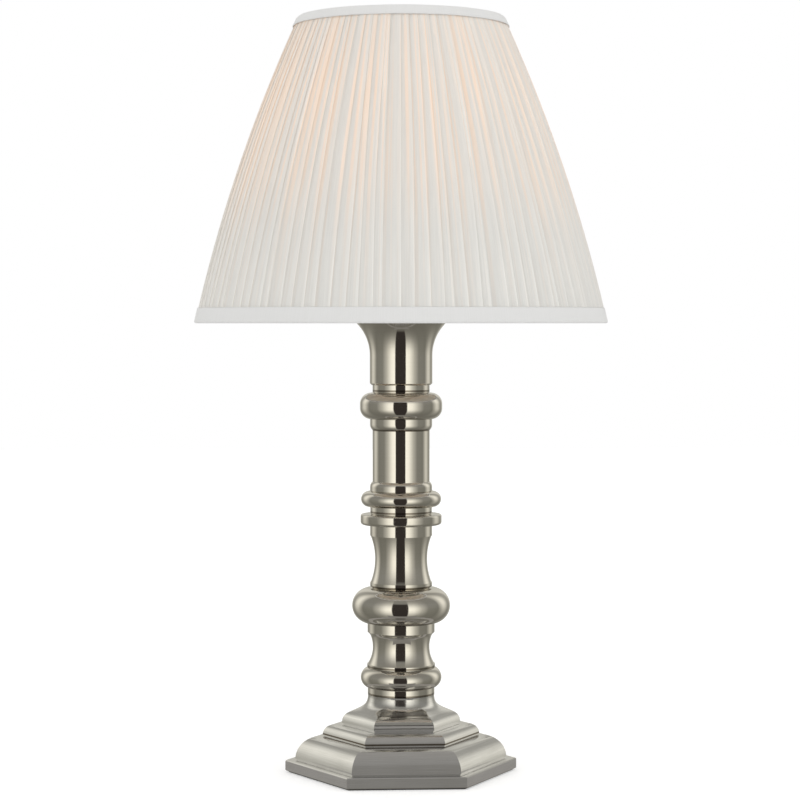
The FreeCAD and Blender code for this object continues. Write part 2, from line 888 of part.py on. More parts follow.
rod_length = socket_level + s.rod_top_reach - nut_level
turned(
    "threaded_rod",
    [
        (s.rod_bore, 0),
        (s.rod_radius, 0),
        (s.rod_radius, rod_length),
        (s.rod_bore, rod_length),
    ],
    z=nut_level,
)


# --- harp ------------------------------------------------------------------------------------------

saddle = doc.addObject("PartDesign::Body", "harp_saddle")
outside = s.saddle_reach + s.saddle_thickness / 2
inside = s.saddle_reach - s.saddle_thickness / 2
saddle_top = s.saddle_shoulder + s.saddle_tab_height
strip = body_sketch(
    saddle,
    "XZ_Plane",
    [
        (-outside, 0),
        (outside, 0),
        (outside, saddle_top),
        (inside, saddle_top),
        (inside, s.saddle_thickness),
        (-inside, s.saddle_thickness),
        (-inside, saddle_top),
        (-outside, saddle_top),
    ],
    "strip",
)
strip_pad = saddle.newObject("PartDesign::Pad", "harp_saddle_bend")
strip_pad.Profile = strip
strip_pad.Midplane = True
bind(strip_pad, "Length", s.saddle_width)
tab_half = s.saddle_tab_width / 2
for side, suffix in ((1, "rear"), (-1, "front")):
    notch = body_sketch(
        saddle,
        "YZ_Plane",
        [
            (side * tab_half, s.saddle_shoulder),
            (side * s.saddle_width, s.saddle_shoulder),
            (side * s.saddle_width, saddle_top + s.saddle_thickness),
            (side * tab_half, saddle_top + s.saddle_thickness),
        ],
        f"{suffix}_notch",
    )
    cut = saddle.newObject("PartDesign::Pocket", f"harp_saddle_{suffix}_cut")
    cut.Profile = notch
    cut.Midplane = True
    bind(cut, "Length", outside * 4)
primitive(saddle, "SubtractiveCylinder", "rod_hole", Radius=bore, Height=s.saddle_thickness)
place(saddle, z=saddle_level)

foot_of_harp = derived("harp_foot_level", saddle_level + saddle_top)


def harp_path():
    """Centre line of the harp from the right foot over the crown to the left foot. Lines and arcs
    meet without a corner; only the right half is worked out."""
    reach = float(s.saddle_reach)
    widen = s.harp_half_width - reach
    sweep = math.acos(1 - widen / (s.harp_flare_radius + s.harp_belly_radius))
    belly_foot = (
        reach + s.harp_flare_radius * (1 - math.cos(sweep)),
        s.harp_leg + s.harp_flare_radius * math.sin(sweep),
    )
    belly = (s.harp_half_width, belly_foot[1] + s.harp_belly_radius * math.sin(sweep))
    lean = math.radians(s.harp_lean)
    side_top = (
        belly[0] - s.harp_side_radius * (1 - math.cos(lean)),
        belly[1] + s.harp_side_radius * math.sin(lean),
    )
    crown_foot_height = s.harp_height - s.harp_crown_radius * (1 - math.sin(lean))
    crown_foot = (
        side_top[0] - (crown_foot_height - side_top[1]) * math.tan(lean),
        crown_foot_height,
    )
    crown = (crown_foot[0] - s.harp_crown_radius * math.cos(lean), float(s.harp_height))

    def on_arc(centre, radius, angle):
        return (centre[0] + radius * math.cos(angle), centre[1] + radius * math.sin(angle))

    flare_mid = on_arc((reach + s.harp_flare_radius, s.harp_leg), s.harp_flare_radius, math.pi - sweep / 2)
    belly_mid = on_arc((belly[0] - s.harp_belly_radius, belly[1]), s.harp_belly_radius, -sweep / 2)
    side_mid = on_arc((belly[0] - s.harp_side_radius, belly[1]), s.harp_side_radius, lean / 2)
    crown_mid = on_arc(
        (crown[0], crown[1] - s.harp_crown_radius), s.harp_crown_radius, (lean + math.pi / 2) / 2
    )
    half = [
        ((reach, 0), None, (reach, s.harp_leg)),
        ((reach, s.harp_leg), flare_mid, belly_foot),
        (belly_foot, belly_mid, belly),
        (belly, side_mid, side_top),
        (side_top, None, crown_foot),
        (crown_foot, crown_mid, crown),
    ]

    def edge(start, middle, end, side):
        points = [FreeCAD.Vector(side * p[0], 0, p[1]) for p in (start, middle, end) if p is not None]
        curve = Part.LineSegment(*points) if middle is None else Part.Arc(*points)
        return curve.toShape()

    right = [edge(start, middle, end, 1) for start, middle, end in half]
    top = [edge(crown, None, (-crown[0], crown[1]), 1)]
    left = [edge(end, middle, start, -1) for start, middle, end in reversed(half)]
    return Part.Wire(right + top + left)


wire_end = Part.Circle(FreeCAD.Vector(s.saddle_reach, 0, 0), FreeCAD.Vector(0, 0, 1), s.harp_wire_radius)
harp_bend = harp_path().makePipeShell([Part.Wire([wire_end.toShape()])], True, False)
place(set_shape("harp_wire", harp_bend), z=foot_of_harp)

harp_crown_level = derived("harp_crown_level", foot_of_harp + s.harp_height + s.harp_wire_radius)
turned(
    "harp_stud",
    [
        (0, 0),
        (s.seat_radius, 0),
        (s.seat_radius, s.seat_height),
        (s.stud_radius, s.seat_height),
        (s.stud_radius, s.seat_height + s.stud_length),
        (0, s.seat_height + s.stud_length),
    ],
    z=harp_crown_level,
)
sleeve_neck = s.harp_wire_radius + s.sleeve_gap
for side, name in ((-1, "harp_sleeve_left"), (1, "harp_sleeve_right")):
    turned(
        name,
        [
            (s.sleeve_bore, 0),
            (s.sleeve_radius, 0),
            (s.sleeve_radius, s.sleeve_height),
            (sleeve_neck, s.sleeve_height),
            (sleeve_neck, s.sleeve_height - s.sleeve_web),
            (s.sleeve_bore, s.sleeve_height - s.sleeve_web),
        ],
        x=side * s.saddle_reach,
        z=saddle_level + s.saddle_shoulder,
    )


# --- lamp socket -------------------------------------------------------------------------------------

cap_inner = s.socket_cap_radius - s.socket_wall
turned(
    "socket_cap",
    [
        (bore, 0),
        (s.socket_cap_foot, 0),
        (
            s.socket_cap_foot + (s.socket_cap_radius - s.socket_cap_foot) * 0.7,
            s.socket_cap_shoulder * 0.35,
            s.socket_cap_radius,
            s.socket_cap_shoulder,
        ),
        (s.socket_cap_radius, s.socket_cap_height),
        (cap_inner, s.socket_cap_height),
        (cap_inner, s.socket_cap_shoulder),
        (
            s.socket_cap_foot + (cap_inner - s.socket_cap_foot) * 0.7,
            s.socket_wall + (s.socket_cap_shoulder - s.socket_wall) * 0.35,
            s.socket_cap_foot,
            s.socket_wall,
        ),
        (bore, s.socket_wall),
    ],
    z=socket_level,
)


def switch_hole(body, level, start, radius):
    """A hole from the body's middle out to the front, for the switch shaft."""
    drill = body.newObject("PartDesign::SubtractiveCylinder", f"{body.Name}_switch_hole")
    drill.AttachmentSupport = [(origin_plane(body, "XZ_Plane"), "")]
    drill.MapMode = "FlatFace"
    bind(drill, ".AttachmentOffset.Base.y", level)
    bind(drill, ".AttachmentOffset.Base.z", start)
    bind(drill, "Radius", radius)
    bind(drill, "Height", s.socket_cap_radius * 2)


shell_outer = cap_inner - s.socket_gap
shell_base = s.socket_cap_height - s.socket_overlap
shell = turned(
    "socket_shell",
    [
        (shell_outer - s.socket_wall, 0),
        (shell_outer, 0),
        (shell_outer, s.socket_height - shell_base),
        (shell_outer - s.socket_wall, s.socket_height - shell_base),
    ],
    z=socket_level + shell_base,
)
shaft_hole = s.switch_shaft_radius + s.switch_shaft_gap
clear_hole = s.switch_shaft_radius * 2
switch_hole(shell, s.switch_height - shell_base, s.switch_shaft_start, clear_hole)

liner_outer = shell_outer - s.socket_wall - s.socket_gap
liner_base = shell_base + s.insulator_set_back
liner_height = s.socket_height - s.insulator_set_back * 2 - shell_base
liner = turned(
    "socket_insulator",
    [
        (liner_outer - s.insulator_wall, 0),
        (liner_outer, 0),
        (liner_outer, liner_height),
        (liner_outer - s.insulator_wall, liner_height),
    ],
    z=socket_level + liner_base,
)
switch_hole(liner, s.switch_height - liner_base, s.switch_shaft_start, clear_hole)

core_radius = liner_outer - s.insulator_wall - s.socket_gap
core = turned(
    "socket_interior",
    [
        (0, 0),
        (core_radius - s.socket_cap_foot / 2, 0),
        (core_radius, s.socket_cap_foot / 2),
        (core_radius, s.interior_height),
        (0, s.interior_height),
    ],
    z=socket_level + s.interior_base,
)
switch_hole(core, s.switch_height - s.interior_base, s.switch_shaft_start, shaft_hole)

screw_level = socket_level + s.interior_base + s.interior_height
screw_inner = s.screw_shell_radius - s.screw_shell_wall
turned(
    "socket_screw_shell",
    [
        (s.contact_radius * 2, 0),
        (s.screw_shell_radius, 0),
        (s.screw_shell_radius, s.screw_shell_height),
        (screw_inner, s.screw_shell_height),
        (screw_inner, s.screw_shell_wall),
        (s.contact_radius * 2, s.screw_shell_wall),
    ],
    z=screw_level,
)
turned(
    "socket_contact",
    [
        (0, 0),
        (s.contact_radius, 0),
        (s.contact_radius, s.contact_height),
        (0, s.contact_height),
    ],
    z=screw_level,
)

facing_front = FreeCAD.Rotation(FreeCAD.Vector(1, 0, 0), 90)
shaft = doc.addObject("Part::Cylinder", "switch_shaft")
shaft.Placement.Rotation = facing_front
bind(shaft, "Radius", s.switch_shaft_radius)
bind(shaft, "Height", s.switch_shaft_length)
place(shaft, y=-(s.switch_shaft_start + s.press_gap), z=socket_level + s.switch_height)

knob_grip = s.switch_knob_grip
knob_start = s.switch_shaft_start + s.press_gap + s.switch_shaft_length - knob_grip
shaft_fit = s.switch_shaft_radius + s.press_gap
knob = turned(
    "switch_knob",
    [
        (shaft_fit, 0),
        (s.switch_knob_radius * 0.6, 0),
        (s.switch_knob_radius * 0.6, s.switch_knob_length * 0.25),
        (s.switch_knob_radius, s.switch_knob_length * 0.4),
        (s.switch_knob_radius, s.switch_knob_length - s.seam_break),
        (s.switch_knob_radius - s.seam_break, s.switch_knob_length),
        (0, s.switch_knob_length),
        (0, knob_grip),
        (shaft_fit, knob_grip),
    ],
    y=-knob_start,
    z=socket_level + s.switch_height,
)
knob.Placement.Rotation = facing_front


# --- bulb --------------------------------------------------------------------------------------------

tip_level = screw_level + s.contact_height
bulb_level = derived("bulb_level", tip_level + s.bulb_tip_height)
turned(
    "bulb_contact",
    [
        (0, 0),
        (s.bulb_tip_radius, 0),
        (s.bulb_tip_radius, s.bulb_tip_height),
        (0, s.bulb_tip_height),
    ],
    z=tip_level,
)
turned(
    "bulb_cap",
    [
        (0, 0),
        (s.bulb_tip_radius * 2, 0),
        (s.bulb_cap_radius, s.bulb_tip_radius),
        (s.bulb_cap_radius, s.bulb_cap_height),
        (s.bulb_cap_radius - s.bulb_cap_wall, s.bulb_cap_height),
        (s.bulb_cap_radius - s.bulb_cap_wall, s.bulb_tip_radius),
        (s.bulb_tip_radius * 2, s.bulb_cap_wall),
        (0, s.bulb_cap_wall),
    ],
    z=bulb_level,
)
glass_level = bulb_level + s.bulb_cap_height


def bulb_side(inset):
    """Neck, shoulder and crown of the envelope, drawn in by inset. The ball takes over from the
    neck at the 3-4-5 point of its circle."""
    ball = s.bulb_radius - inset
    centre = s.bulb_height - s.bulb_radius
    neck = (s.bulb_neck_radius - inset, 0)
    shoulder = (ball * 0.8, centre - ball * 0.6)
    return neck, flare(neck, shoulder), (ball, centre, 0, centre + ball)


outer_neck, outer_shoulder, outer_crown = bulb_side(0)
inner_neck, inner_shoulder, inner_crown = bulb_side(s.bulb_glass_wall)
turned(
    "bulb_glass",
    [
        outer_neck,
        outer_shoulder,
        outer_crown,
        (0, inner_crown[3]),
        (inner_crown[0], inner_crown[1], *inner_shoulder[2:]),
        (*inner_shoulder[:2], *inner_neck),
    ],
    z=glass_level,
)
turned(
    "bulb_stem",
    [
        (0, 0),
        (s.bulb_cap_radius - s.bulb_cap_wall - s.press_gap, 0),
        (s.bulb_stem_radius, s.bulb_stem_radius),
        (s.bulb_stem_radius, s.bulb_stem_height),
        (0, s.bulb_stem_height),
    ],
    z=glass_level - s.bulb_stem_radius,
)
filament = doc.addObject("Part::Cylinder", "bulb_filament")
filament.Placement.Rotation = FreeCAD.Rotation(FreeCAD.Vector(0, 1, 0), 90)
bind(filament, "Radius", s.filament_radius)
bind(filament, "Height", s.filament_length)
filament_level = glass_level - s.bulb_stem_radius + s.bulb_stem_height + s.filament_radius
place(filament, x=-s.filament_length / 2, z=filament_level)


# --- shade -------------------------------------------------------------------------------------------

hub_level = derived("hub_level", harp_crown_level + s.seat_height)
shade_level = derived("shade_level", hub_level + s.fitter_drop - s.shade_height)

# The side of the shade is an arc that bows out from the straight line between its two rims.
bottom, top = s.shade_bottom_radius, s.shade_top_radius
middle = derived("shade_middle_radius", (bottom + top) / 2 + s.shade_bow)
rise = s.shade_height
arc_r = derived(
    "shade_arc_r",
    (2 * middle * middle - bottom * bottom - top * top - rise * rise / 2)
    / (4 * middle - 2 * bottom - 2 * top),
)
arc_z = derived(
    "shade_arc_z",
    (top * top - bottom * bottom + rise * rise - 2 * arc_r * (top - bottom)) / (2 * rise),
)
arc_reach = derived("shade_arc_reach", root((bottom - arc_r) * (bottom - arc_r) + arc_z * arc_z))


def crest(height):
    """Outer radius of the pleats at a height above the shade's lower rim."""
    up = height - arc_z
    return arc_r + root(arc_reach * arc_reach - up * up)


def side(inset, low, high):
    """The two ends and the middle of the shade's side, drawn in by inset."""
    half = (low + high) / 2
    return (crest(low) - inset, low), (crest(half) - inset, half), (crest(high) - inset, high)


cloth_depth = s.pleat_depth + s.pleat_cloth
wire_inset = derived("shade_wire_inset", cloth_depth + s.cloth_gap + s.ring_wire_radius)
lining_inset = derived("shade_lining_inset", wire_inset + s.ring_wire_radius + s.cloth_gap)
band_inset = derived("shade_band_inset", lining_inset + s.lining_thickness + s.cloth_gap)


def pleated_cloth():
    """The pleated cover: knife pleats with a long and a short face, on a smooth inner side. The
    pleats narrow and flatten towards the top, so that each face stays flat from level to level."""
    count = int(s.pleat_count)
    floor = float(s.pleat_floor)
    ceiling = s.shade_height - s.pleat_floor

    def polygon(height, corners):
        points = []
        for share, reach in corners:
            angle = 2 * math.pi * share / count
            points.append(FreeCAD.Vector(reach * math.cos(angle), reach * math.sin(angle), height))
        return Part.makePolygon(points + points[:1])

    outer, inner = [], []
    for step in range(PLEAT_LEVELS):
        height = floor + (ceiling - floor) * step / (PLEAT_LEVELS - 1)
        fold = float(crest(Size(height, repr(height))))
        valley = fold - s.pleat_depth * fold / s.shade_bottom_radius
        corners = []
        for pleat in range(count):
            corners += [(pleat, fold), (pleat + PLEAT_FACE_SHARE, valley)]
        outer.append(polygon(height, corners))
        inner.append(polygon(height, [(pleat, fold - cloth_depth) for pleat in range(count)]))
    return Part.makeLoft(outer, True, True).cut(Part.makeLoft(inner, True, True))


place(set_shape("shade_pleats", pleated_cloth()), z=shade_level)

ring_levels = {
    "shade_bottom_ring": s.ring_inset,
    "shade_top_ring": s.shade_height - s.ring_inset,
}
for name, height in ring_levels.items():
    hoop = doc.addObject("Part::Torus", name)
    bind(hoop, "Radius1", crest(height) - wire_inset)
    bind(hoop, "Radius2", s.ring_wire_radius)
    place(hoop, z=shade_level + height)


def shade_ribs_shape():
    """Bowed wires between the two hoops, evenly spaced."""
    reach = s.ring_wire_radius + s.weld_gap
    low, half, high = side(wire_inset, s.ring_inset + reach, s.shade_height - s.ring_inset - reach)
    path = Part.Arc(*[FreeCAD.Vector(r, 0, z) for r, z in (low, half, high)]).toShape()
    start = path.valueAt(path.FirstParameter)
    along = path.tangentAt(path.FirstParameter)
    section = Part.Circle(start, along, s.rib_wire_radius).toShape()
    wire = Part.Wire([path]).makePipeShell([Part.Wire([section])], True, False)
    count = int(s.rib_count)
    ribs = []
    for index in range(count):
        rib = wire.copy()
        rib.rotate(FreeCAD.Vector(), FreeCAD.Vector(0, 0, 1), 360 * (index + 0.5) / count)
        ribs.append(rib)
    return Part.makeCompound(ribs)


place(set_shape("shade_ribs", shade_ribs_shape()), z=shade_level)

lining_low = s.pleat_floor
lining_high = s.shade_height - s.lining_top_drop
out_low, out_half, out_high = side(lining_inset, lining_low, lining_high)
in_low, in_half, in_high = side(lining_inset + s.lining_thickness, lining_low, lining_high)
turned(
    "shade_lining",
    [out_low, (*out_half, *out_high), in_high, (*in_half, *in_low)],
    z=shade_level,
)

# The bottom band folds round the lower hoop and closes the cloth and lining from below.
band_out = s.cloth_gap + s.band_thickness
fold = s.band_thickness
lip = s.bottom_band_height
band_floor = s.pleat_floor - s.cloth_gap
turned(
    "shade_bottom_band",
    [
        (crest(fold) - band_inset - fold, 0),
        (crest(fold) + band_out - fold, 0),
        quarter(
            (crest(fold) + band_out - fold, 0),
            (crest(fold) + band_out, fold),
            (crest(fold) + band_out - fold, fold),
        ),
        (crest(lip) + band_out, lip),
        (crest(lip) + s.cloth_gap, lip),
        (crest(band_floor) + s.cloth_gap, band_floor),
        (crest(band_floor) - band_inset, band_floor),
        (crest(lip) - band_inset, lip),
        (crest(lip) - band_inset - fold, lip),
    ],
    z=shade_level,
)

# The top band folds over the upper hoop and stops short of the spider's arms.
brim = s.shade_height
band_foot = s.shade_height - s.top_band_height
band_roof = s.shade_height - s.pleat_floor + s.cloth_gap
turned(
    "shade_top_band",
    [
        (crest(band_foot) + s.cloth_gap, band_foot),
        (crest(band_foot) + band_out, band_foot),
        (crest(brim) + band_out + s.band_thickness, brim - fold),
        quarter(
            (crest(brim) + band_out + s.band_thickness, brim - fold),
            (crest(brim) + band_out, brim),
            (crest(brim) + band_out, brim - fold),
        ),
        (crest(brim) - band_inset, brim),
        (crest(brim) - band_inset, band_roof),
        (crest(band_roof) + s.cloth_gap, band_roof),
    ],
    z=shade_level,
)

spider = doc.addObject("PartDesign::Body", "shade_spider")
primitive(spider, "AdditiveCylinder", "hub", Radius=s.hub_radius, Height=s.hub_thickness)
top_ring_height = s.shade_height - s.ring_inset
arm_end = crest(top_ring_height) - wire_inset - s.ring_wire_radius - s.weld_gap
arm_rise = s.fitter_drop - s.ring_inset
arm_half = s.spider_arm_thickness / 2
arm = body_sketch(
    spider,
    "XZ_Plane",
    [
        (s.hub_radius * 0.8, 0),
        (s.hub_radius, 0),
        (arm_end, arm_rise - arm_half),
        (arm_end, arm_rise + arm_half),
        (s.hub_radius * 0.8, s.hub_thickness),
    ],
    "arm",
)
arm_pad = spider.newObject("PartDesign::Pad", "shade_spider_arm_pad")
arm_pad.Profile = arm
arm_pad.Midplane = True
bind(arm_pad, "Length", s.spider_arm_width)
arms = spider.newObject("PartDesign::PolarPattern", "shade_spider_arms")
arms.Originals = [arm_pad]
arms.Axis = (arm, ["V_Axis"])
arms.Angle = 360
arms.Occurrences = SPIDER_ARMS
spider.Tip = arms
doc.recompute()
hub_hole = primitive(
    spider, "SubtractiveCylinder", "hub_hole", Radius=s.stud_radius + s.hub_gap, Height=s.hub_thickness * 2
)
spider.Tip = hub_hole
place(spider, z=hub_level)


# --- finial ------------------------------------------------------------------------------------------

finial_bore = s.stud_radius + s.finial_thread_gap
ball_level = s.finial_height - s.finial_ball_radius
neck_level = ball_level - s.finial_ball_radius * 0.8
turned(
    "finial",
    [
        (finial_bore, 0),
        (s.finial_foot_radius, 0),
        (s.finial_foot_radius, s.finial_foot_radius * 0.35),
        (
            s.finial_neck_radius + s.seam_break,
            neck_level * 0.7,
            s.finial_ball_radius * 0.6,
            neck_level,
        ),
        (s.finial_ball_radius, ball_level, 0, s.finial_height),
        (0, s.finial_bore_depth),
        (finial_bore, s.finial_bore_depth),
    ],
    z=hub_level + s.hub_thickness,
)


# --- check and write ---------------------------------------------------------------------------------

doc.recompute()
for item in doc.Objects:
    if "Invalid" in item.State or "Error" in item.State:
        raise RuntimeError(f"{item.Label}: {item.State}")
for node in nodes:
    if node.Shape.isNull() or not node.Shape.isValid():
        raise RuntimeError(f"{node.Label}: bad shape")

os.makedirs("parts", exist_ok=True)
for node in nodes:
    node.Shape.exportStep(os.path.join("parts", f"{node.Label}.step"))
    print(node.Label, len(node.Shape.Solids), round(node.Shape.Volume), node.Shape.BoundBox)
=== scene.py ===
import math
import random

import bpy
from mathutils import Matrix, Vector


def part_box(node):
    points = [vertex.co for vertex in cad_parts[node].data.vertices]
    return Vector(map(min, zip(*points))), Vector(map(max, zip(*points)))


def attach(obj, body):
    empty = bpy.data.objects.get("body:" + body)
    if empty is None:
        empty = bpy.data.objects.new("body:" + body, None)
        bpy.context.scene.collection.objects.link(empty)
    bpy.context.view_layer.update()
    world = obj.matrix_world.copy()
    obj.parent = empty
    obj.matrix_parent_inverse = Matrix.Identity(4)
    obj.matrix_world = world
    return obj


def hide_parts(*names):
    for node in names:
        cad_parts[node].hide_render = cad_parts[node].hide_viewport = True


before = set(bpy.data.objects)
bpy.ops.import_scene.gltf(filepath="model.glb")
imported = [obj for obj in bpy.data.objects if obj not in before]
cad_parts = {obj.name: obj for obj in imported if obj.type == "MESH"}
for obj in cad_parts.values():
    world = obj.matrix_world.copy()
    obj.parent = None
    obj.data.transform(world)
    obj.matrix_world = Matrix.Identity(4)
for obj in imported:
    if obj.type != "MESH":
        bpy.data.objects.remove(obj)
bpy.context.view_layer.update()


# --- studio ---------------------------------------------------------------------------------
# A pale floor that runs off to white, a tall dark gap between two soft panels in front, and a
# white backdrop behind. Grey cards stand round the foot for the metal to show. The camera stands
# a little to the left of the foot's front facet.

def new_node(tree, kind, **settings):
    node = tree.nodes.new(kind)
    for name, value in settings.items():
        setattr(node, name, value)
    return node


def feed(tree, socket, value):
    if isinstance(value, bpy.types.NodeSocket):
        tree.links.new(value, socket)
    else:
        socket.default_value = value


def sum_of(tree, operation, *values, clamp=False):
    node = new_node(tree, "ShaderNodeMath", operation=operation, use_clamp=clamp)
    for socket, value in zip(node.inputs, values):
        feed(tree, socket, value)
    return node.outputs[0]


def blended(tree, share, first, second, mode="MIX"):
    node = new_node(tree, "ShaderNodeMix", data_type="RGBA", blend_type=mode)
    feed(tree, node.inputs[0], share)
    feed(tree, node.inputs[6], first)
    feed(tree, node.inputs[7], second)
    return node.outputs[2]


def ramp(tree, share, stops, smooth="EASE"):
    node = new_node(tree, "ShaderNodeValToRGB")
    band = node.color_ramp
    band.interpolation = smooth
    while len(band.elements) < len(stops):
        band.elements.new(0.5)
    for element, (place, value) in zip(band.elements, stops):
        element.position = place
        element.color = value if isinstance(value, tuple) else (value, value, value, 1)
    feed(tree, node.inputs[0], share)
    return node.outputs[0]


def parts_of(tree, vector):
    node = new_node(tree, "ShaderNodeSeparateXYZ")
    tree.links.new(vector, node.inputs[0])
    return node.outputs


def round_stops(stops):
    """Ramp stops given in degrees round from the middle of the gap."""
    return [(degrees / 180, value) for degrees, value in stops]


GAP_BEARING = math.radians(5.5)
PANEL_AIM, PANEL_RISE, PANEL_REACH = math.radians(-2), math.radians(19), math.radians(34)
PANEL_STOPS = [
    (19, 0.0), (20.5, 1.0), (34, 0.86), (52, 0.34), (70, 0.05), (100, 0.03), (119, 0.69),
    (128, 0.66), (143, 0.16), (154, 0.14), (163, 0.42), (180, 0.30)]
PANEL_COLOUR = (1.22, 1.18, 1.05, 1)
GAP_COLOUR = (0.045, 0.038, 0.034, 1)
SKY_COLOUR = (0.93, 0.93, 0.925, 1)
WHITE = (1.0, 1.0, 1.0, 1)

studio = bpy.data.worlds.new("studio")
bpy.context.scene.world = studio
studio.use_nodes = True
sky = studio.node_tree
sky.nodes.clear()
sky_parts = parts_of(sky, new_node(sky, "ShaderNodeTexCoord").outputs["Generated"])
towards_front = sum_of(sky, "MULTIPLY", sky_parts[1], -1.0)
bearing = sum_of(sky, "ARCTAN2", sky_parts[0], towards_front)
from_gap = sum_of(sky, "ABSOLUTE", sum_of(sky, "ADD", bearing, GAP_BEARING))
round_share = sum_of(sky, "DIVIDE", from_gap, math.pi)
height_angle = sum_of(sky, "ARCSINE", sky_parts[2])
behind_lamp = ramp(sky, round_share, round_stops([(88, 0.0), (106, 1.0)]), smooth="LINEAR")
panel_centre = sum_of(sky, "MULTIPLY_ADD", behind_lamp, PANEL_RISE, PANEL_AIM)
panel_height = sum_of(sky, "DIVIDE", sum_of(sky, "SUBTRACT", height_angle, panel_centre), PANEL_REACH)
height_square = sum_of(sky, "MULTIPLY", panel_height, panel_height)
panel_fade = sum_of(sky, "EXPONENT", sum_of(sky, "MULTIPLY", height_square, -1.0))
panels = ramp(sky, round_share, round_stops(PANEL_STOPS), smooth="LINEAR")
panel_light = sum_of(sky, "MULTIPLY", panels, panel_fade)
gap = ramp(sky, round_share, round_stops([(18.4, 1.0), (19.4, 0.0)]), smooth="LINEAR")
height_share = sum_of(sky, "ADD", sum_of(sky, "DIVIDE", height_angle, math.pi), 0.5)
gap_height = ramp(sky, height_share, [(0.12, 0.0), (0.16, 1.0), (0.67, 1.0), (0.71, 0.0)],
                  smooth="LINEAR")
gap_shade = sum_of(sky, "MULTIPLY", gap, gap_height)
room_grey = ramp(sky, height_share, [
    (0.0, (0.19, 0.18, 0.155, 1)), (0.42, (0.21, 0.205, 0.175, 1)), (0.62, (0.27, 0.265, 0.24, 1)),
    (1.0, (0.32, 0.30, 0.26, 1)),
])
lit_panels = blended(sky, 1.0, PANEL_COLOUR, panel_light, "MULTIPLY")
room = blended(sky, gap_shade, blended(sky, 1.0, room_grey, lit_panels, "ADD"), GAP_COLOUR)
ray = new_node(sky, "ShaderNodeLightPath")
seen_colour = blended(sky, ray.outputs["Is Glossy Ray"], SKY_COLOUR, room)
straight = sum_of(sky, "MAXIMUM", ray.outputs["Is Camera Ray"], ray.outputs["Is Transmission Ray"])
seen_colour = blended(sky, straight, seen_colour, WHITE)
background = new_node(sky, "ShaderNodeBackground")
sky.links.new(seen_colour, background.inputs["Color"])
world_out = new_node(sky, "ShaderNodeOutputWorld")
sky.links.new(background.outputs[0], world_out.inputs[0])

FLOOR_SIZE = 12.0
FLOOR_LIFT = 0.34
bpy.ops.object.select_all(action="DESELECT")
bpy.ops.mesh.primitive_plane_add(size=FLOOR_SIZE, location=(0, 0, 0))
floor = bpy.context.object
floor.name = "studio_floor"
floor.visible_glossy = False
floor_material = bpy.data.materials.new("pale_floor")
floor_material.use_nodes = True
paint = floor_material.node_tree
floor_shader = paint.nodes["Principled BSDF"]
floor_shader.inputs["Base Color"].default_value = (0.86, 0.86, 0.86, 1)
floor_shader.inputs["Roughness"].default_value = 0.9
floor_shader.inputs["Emission Color"].default_value = WHITE
ray = new_node(paint, "ShaderNodeLightPath")
straight = sum_of(paint, "MAXIMUM", ray.outputs["Is Camera Ray"], ray.outputs["Is Transmission Ray"])
paint.links.new(sum_of(paint, "MULTIPLY", straight, FLOOR_LIFT), floor_shader.inputs["Emission Strength"])
floor.data.materials.append(floor_material)

card_grey = bpy.data.materials.new("card_grey")
card_grey.use_nodes = True
card_tree = card_grey.node_tree
card_tree.nodes.clear()
card_parts = parts_of(card_tree, new_node(card_tree, "ShaderNodeTexCoord").outputs["Object"])
in_front = sum_of(card_tree, "MULTIPLY", card_parts[1], -1.0)
card_glow = new_node(card_tree, "ShaderNodeEmission")
card_tree.links.new(ramp(card_tree, in_front, [
    (0.07, (0.38, 0.365, 0.34, 1)), (0.12, (0.34, 0.33, 0.31, 1)), (0.16, (0.28, 0.27, 0.25, 1)),
]), card_glow.inputs["Color"])
clear = new_node(card_tree, "ShaderNodeBsdfTransparent")
card_back = new_node(card_tree, "ShaderNodeNewGeometry").outputs["Backfacing"]
card_mix = new_node(card_tree, "ShaderNodeMixShader")
card_tree.links.new(card_back, card_mix.inputs[0])
card_tree.links.new(card_glow.outputs[0], card_mix.inputs[1])
card_tree.links.new(clear.outputs[0], card_mix.inputs[2])
card_out = new_node(card_tree, "ShaderNodeOutputMaterial")
card_tree.links.new(card_mix.outputs[0], card_out.inputs["Surface"])


def flag_card(name, corners, faces):
    """A grey card that only the metal shows, and only its face towards the lamp or the floor."""
    mesh = bpy.data.meshes.new(name)
    mesh.from_pydata(corners, [], faces)
    card = bpy.data.objects.new(name, mesh)
    bpy.context.scene.collection.objects.link(card)
    card.data.materials.append(card_grey)
    card.visible_camera = card.visible_diffuse = card.visible_transmission = False
    card.visible_shadow = card.visible_volume_scatter = False


CARD_FOOT = -0.04
CARD_WIDE, CARD_AWAY, CARD_TALL = 0.125, 0.17, 0.040
flag_card("front_card", [
    (-CARD_WIDE, -CARD_AWAY, CARD_FOOT), (CARD_WIDE, -CARD_AWAY, CARD_FOOT),
    (CARD_WIDE, -CARD_AWAY, CARD_TALL), (-CARD_WIDE, -CARD_AWAY, CARD_TALL),
], [(3, 2, 1, 0)])
AWNING_WIDE, AWNING_NEAR, AWNING_FAR, AWNING_TALL = 0.16, 0.066, 0.60, 0.0605
flag_card("awning_card", [
    (-AWNING_WIDE, -AWNING_FAR, AWNING_TALL), (AWNING_WIDE, -AWNING_FAR, AWNING_TALL),
    (AWNING_WIDE, -AWNING_NEAR, AWNING_TALL), (-AWNING_WIDE, -AWNING_NEAR, AWNING_TALL),
], [(3, 2, 1, 0)])
LOW_SIDES, LOW_AWAY, LOW_TALL, SIDE_TALL = 48, 0.165, 0.016, 0.003
low_corners, low_faces = [], []
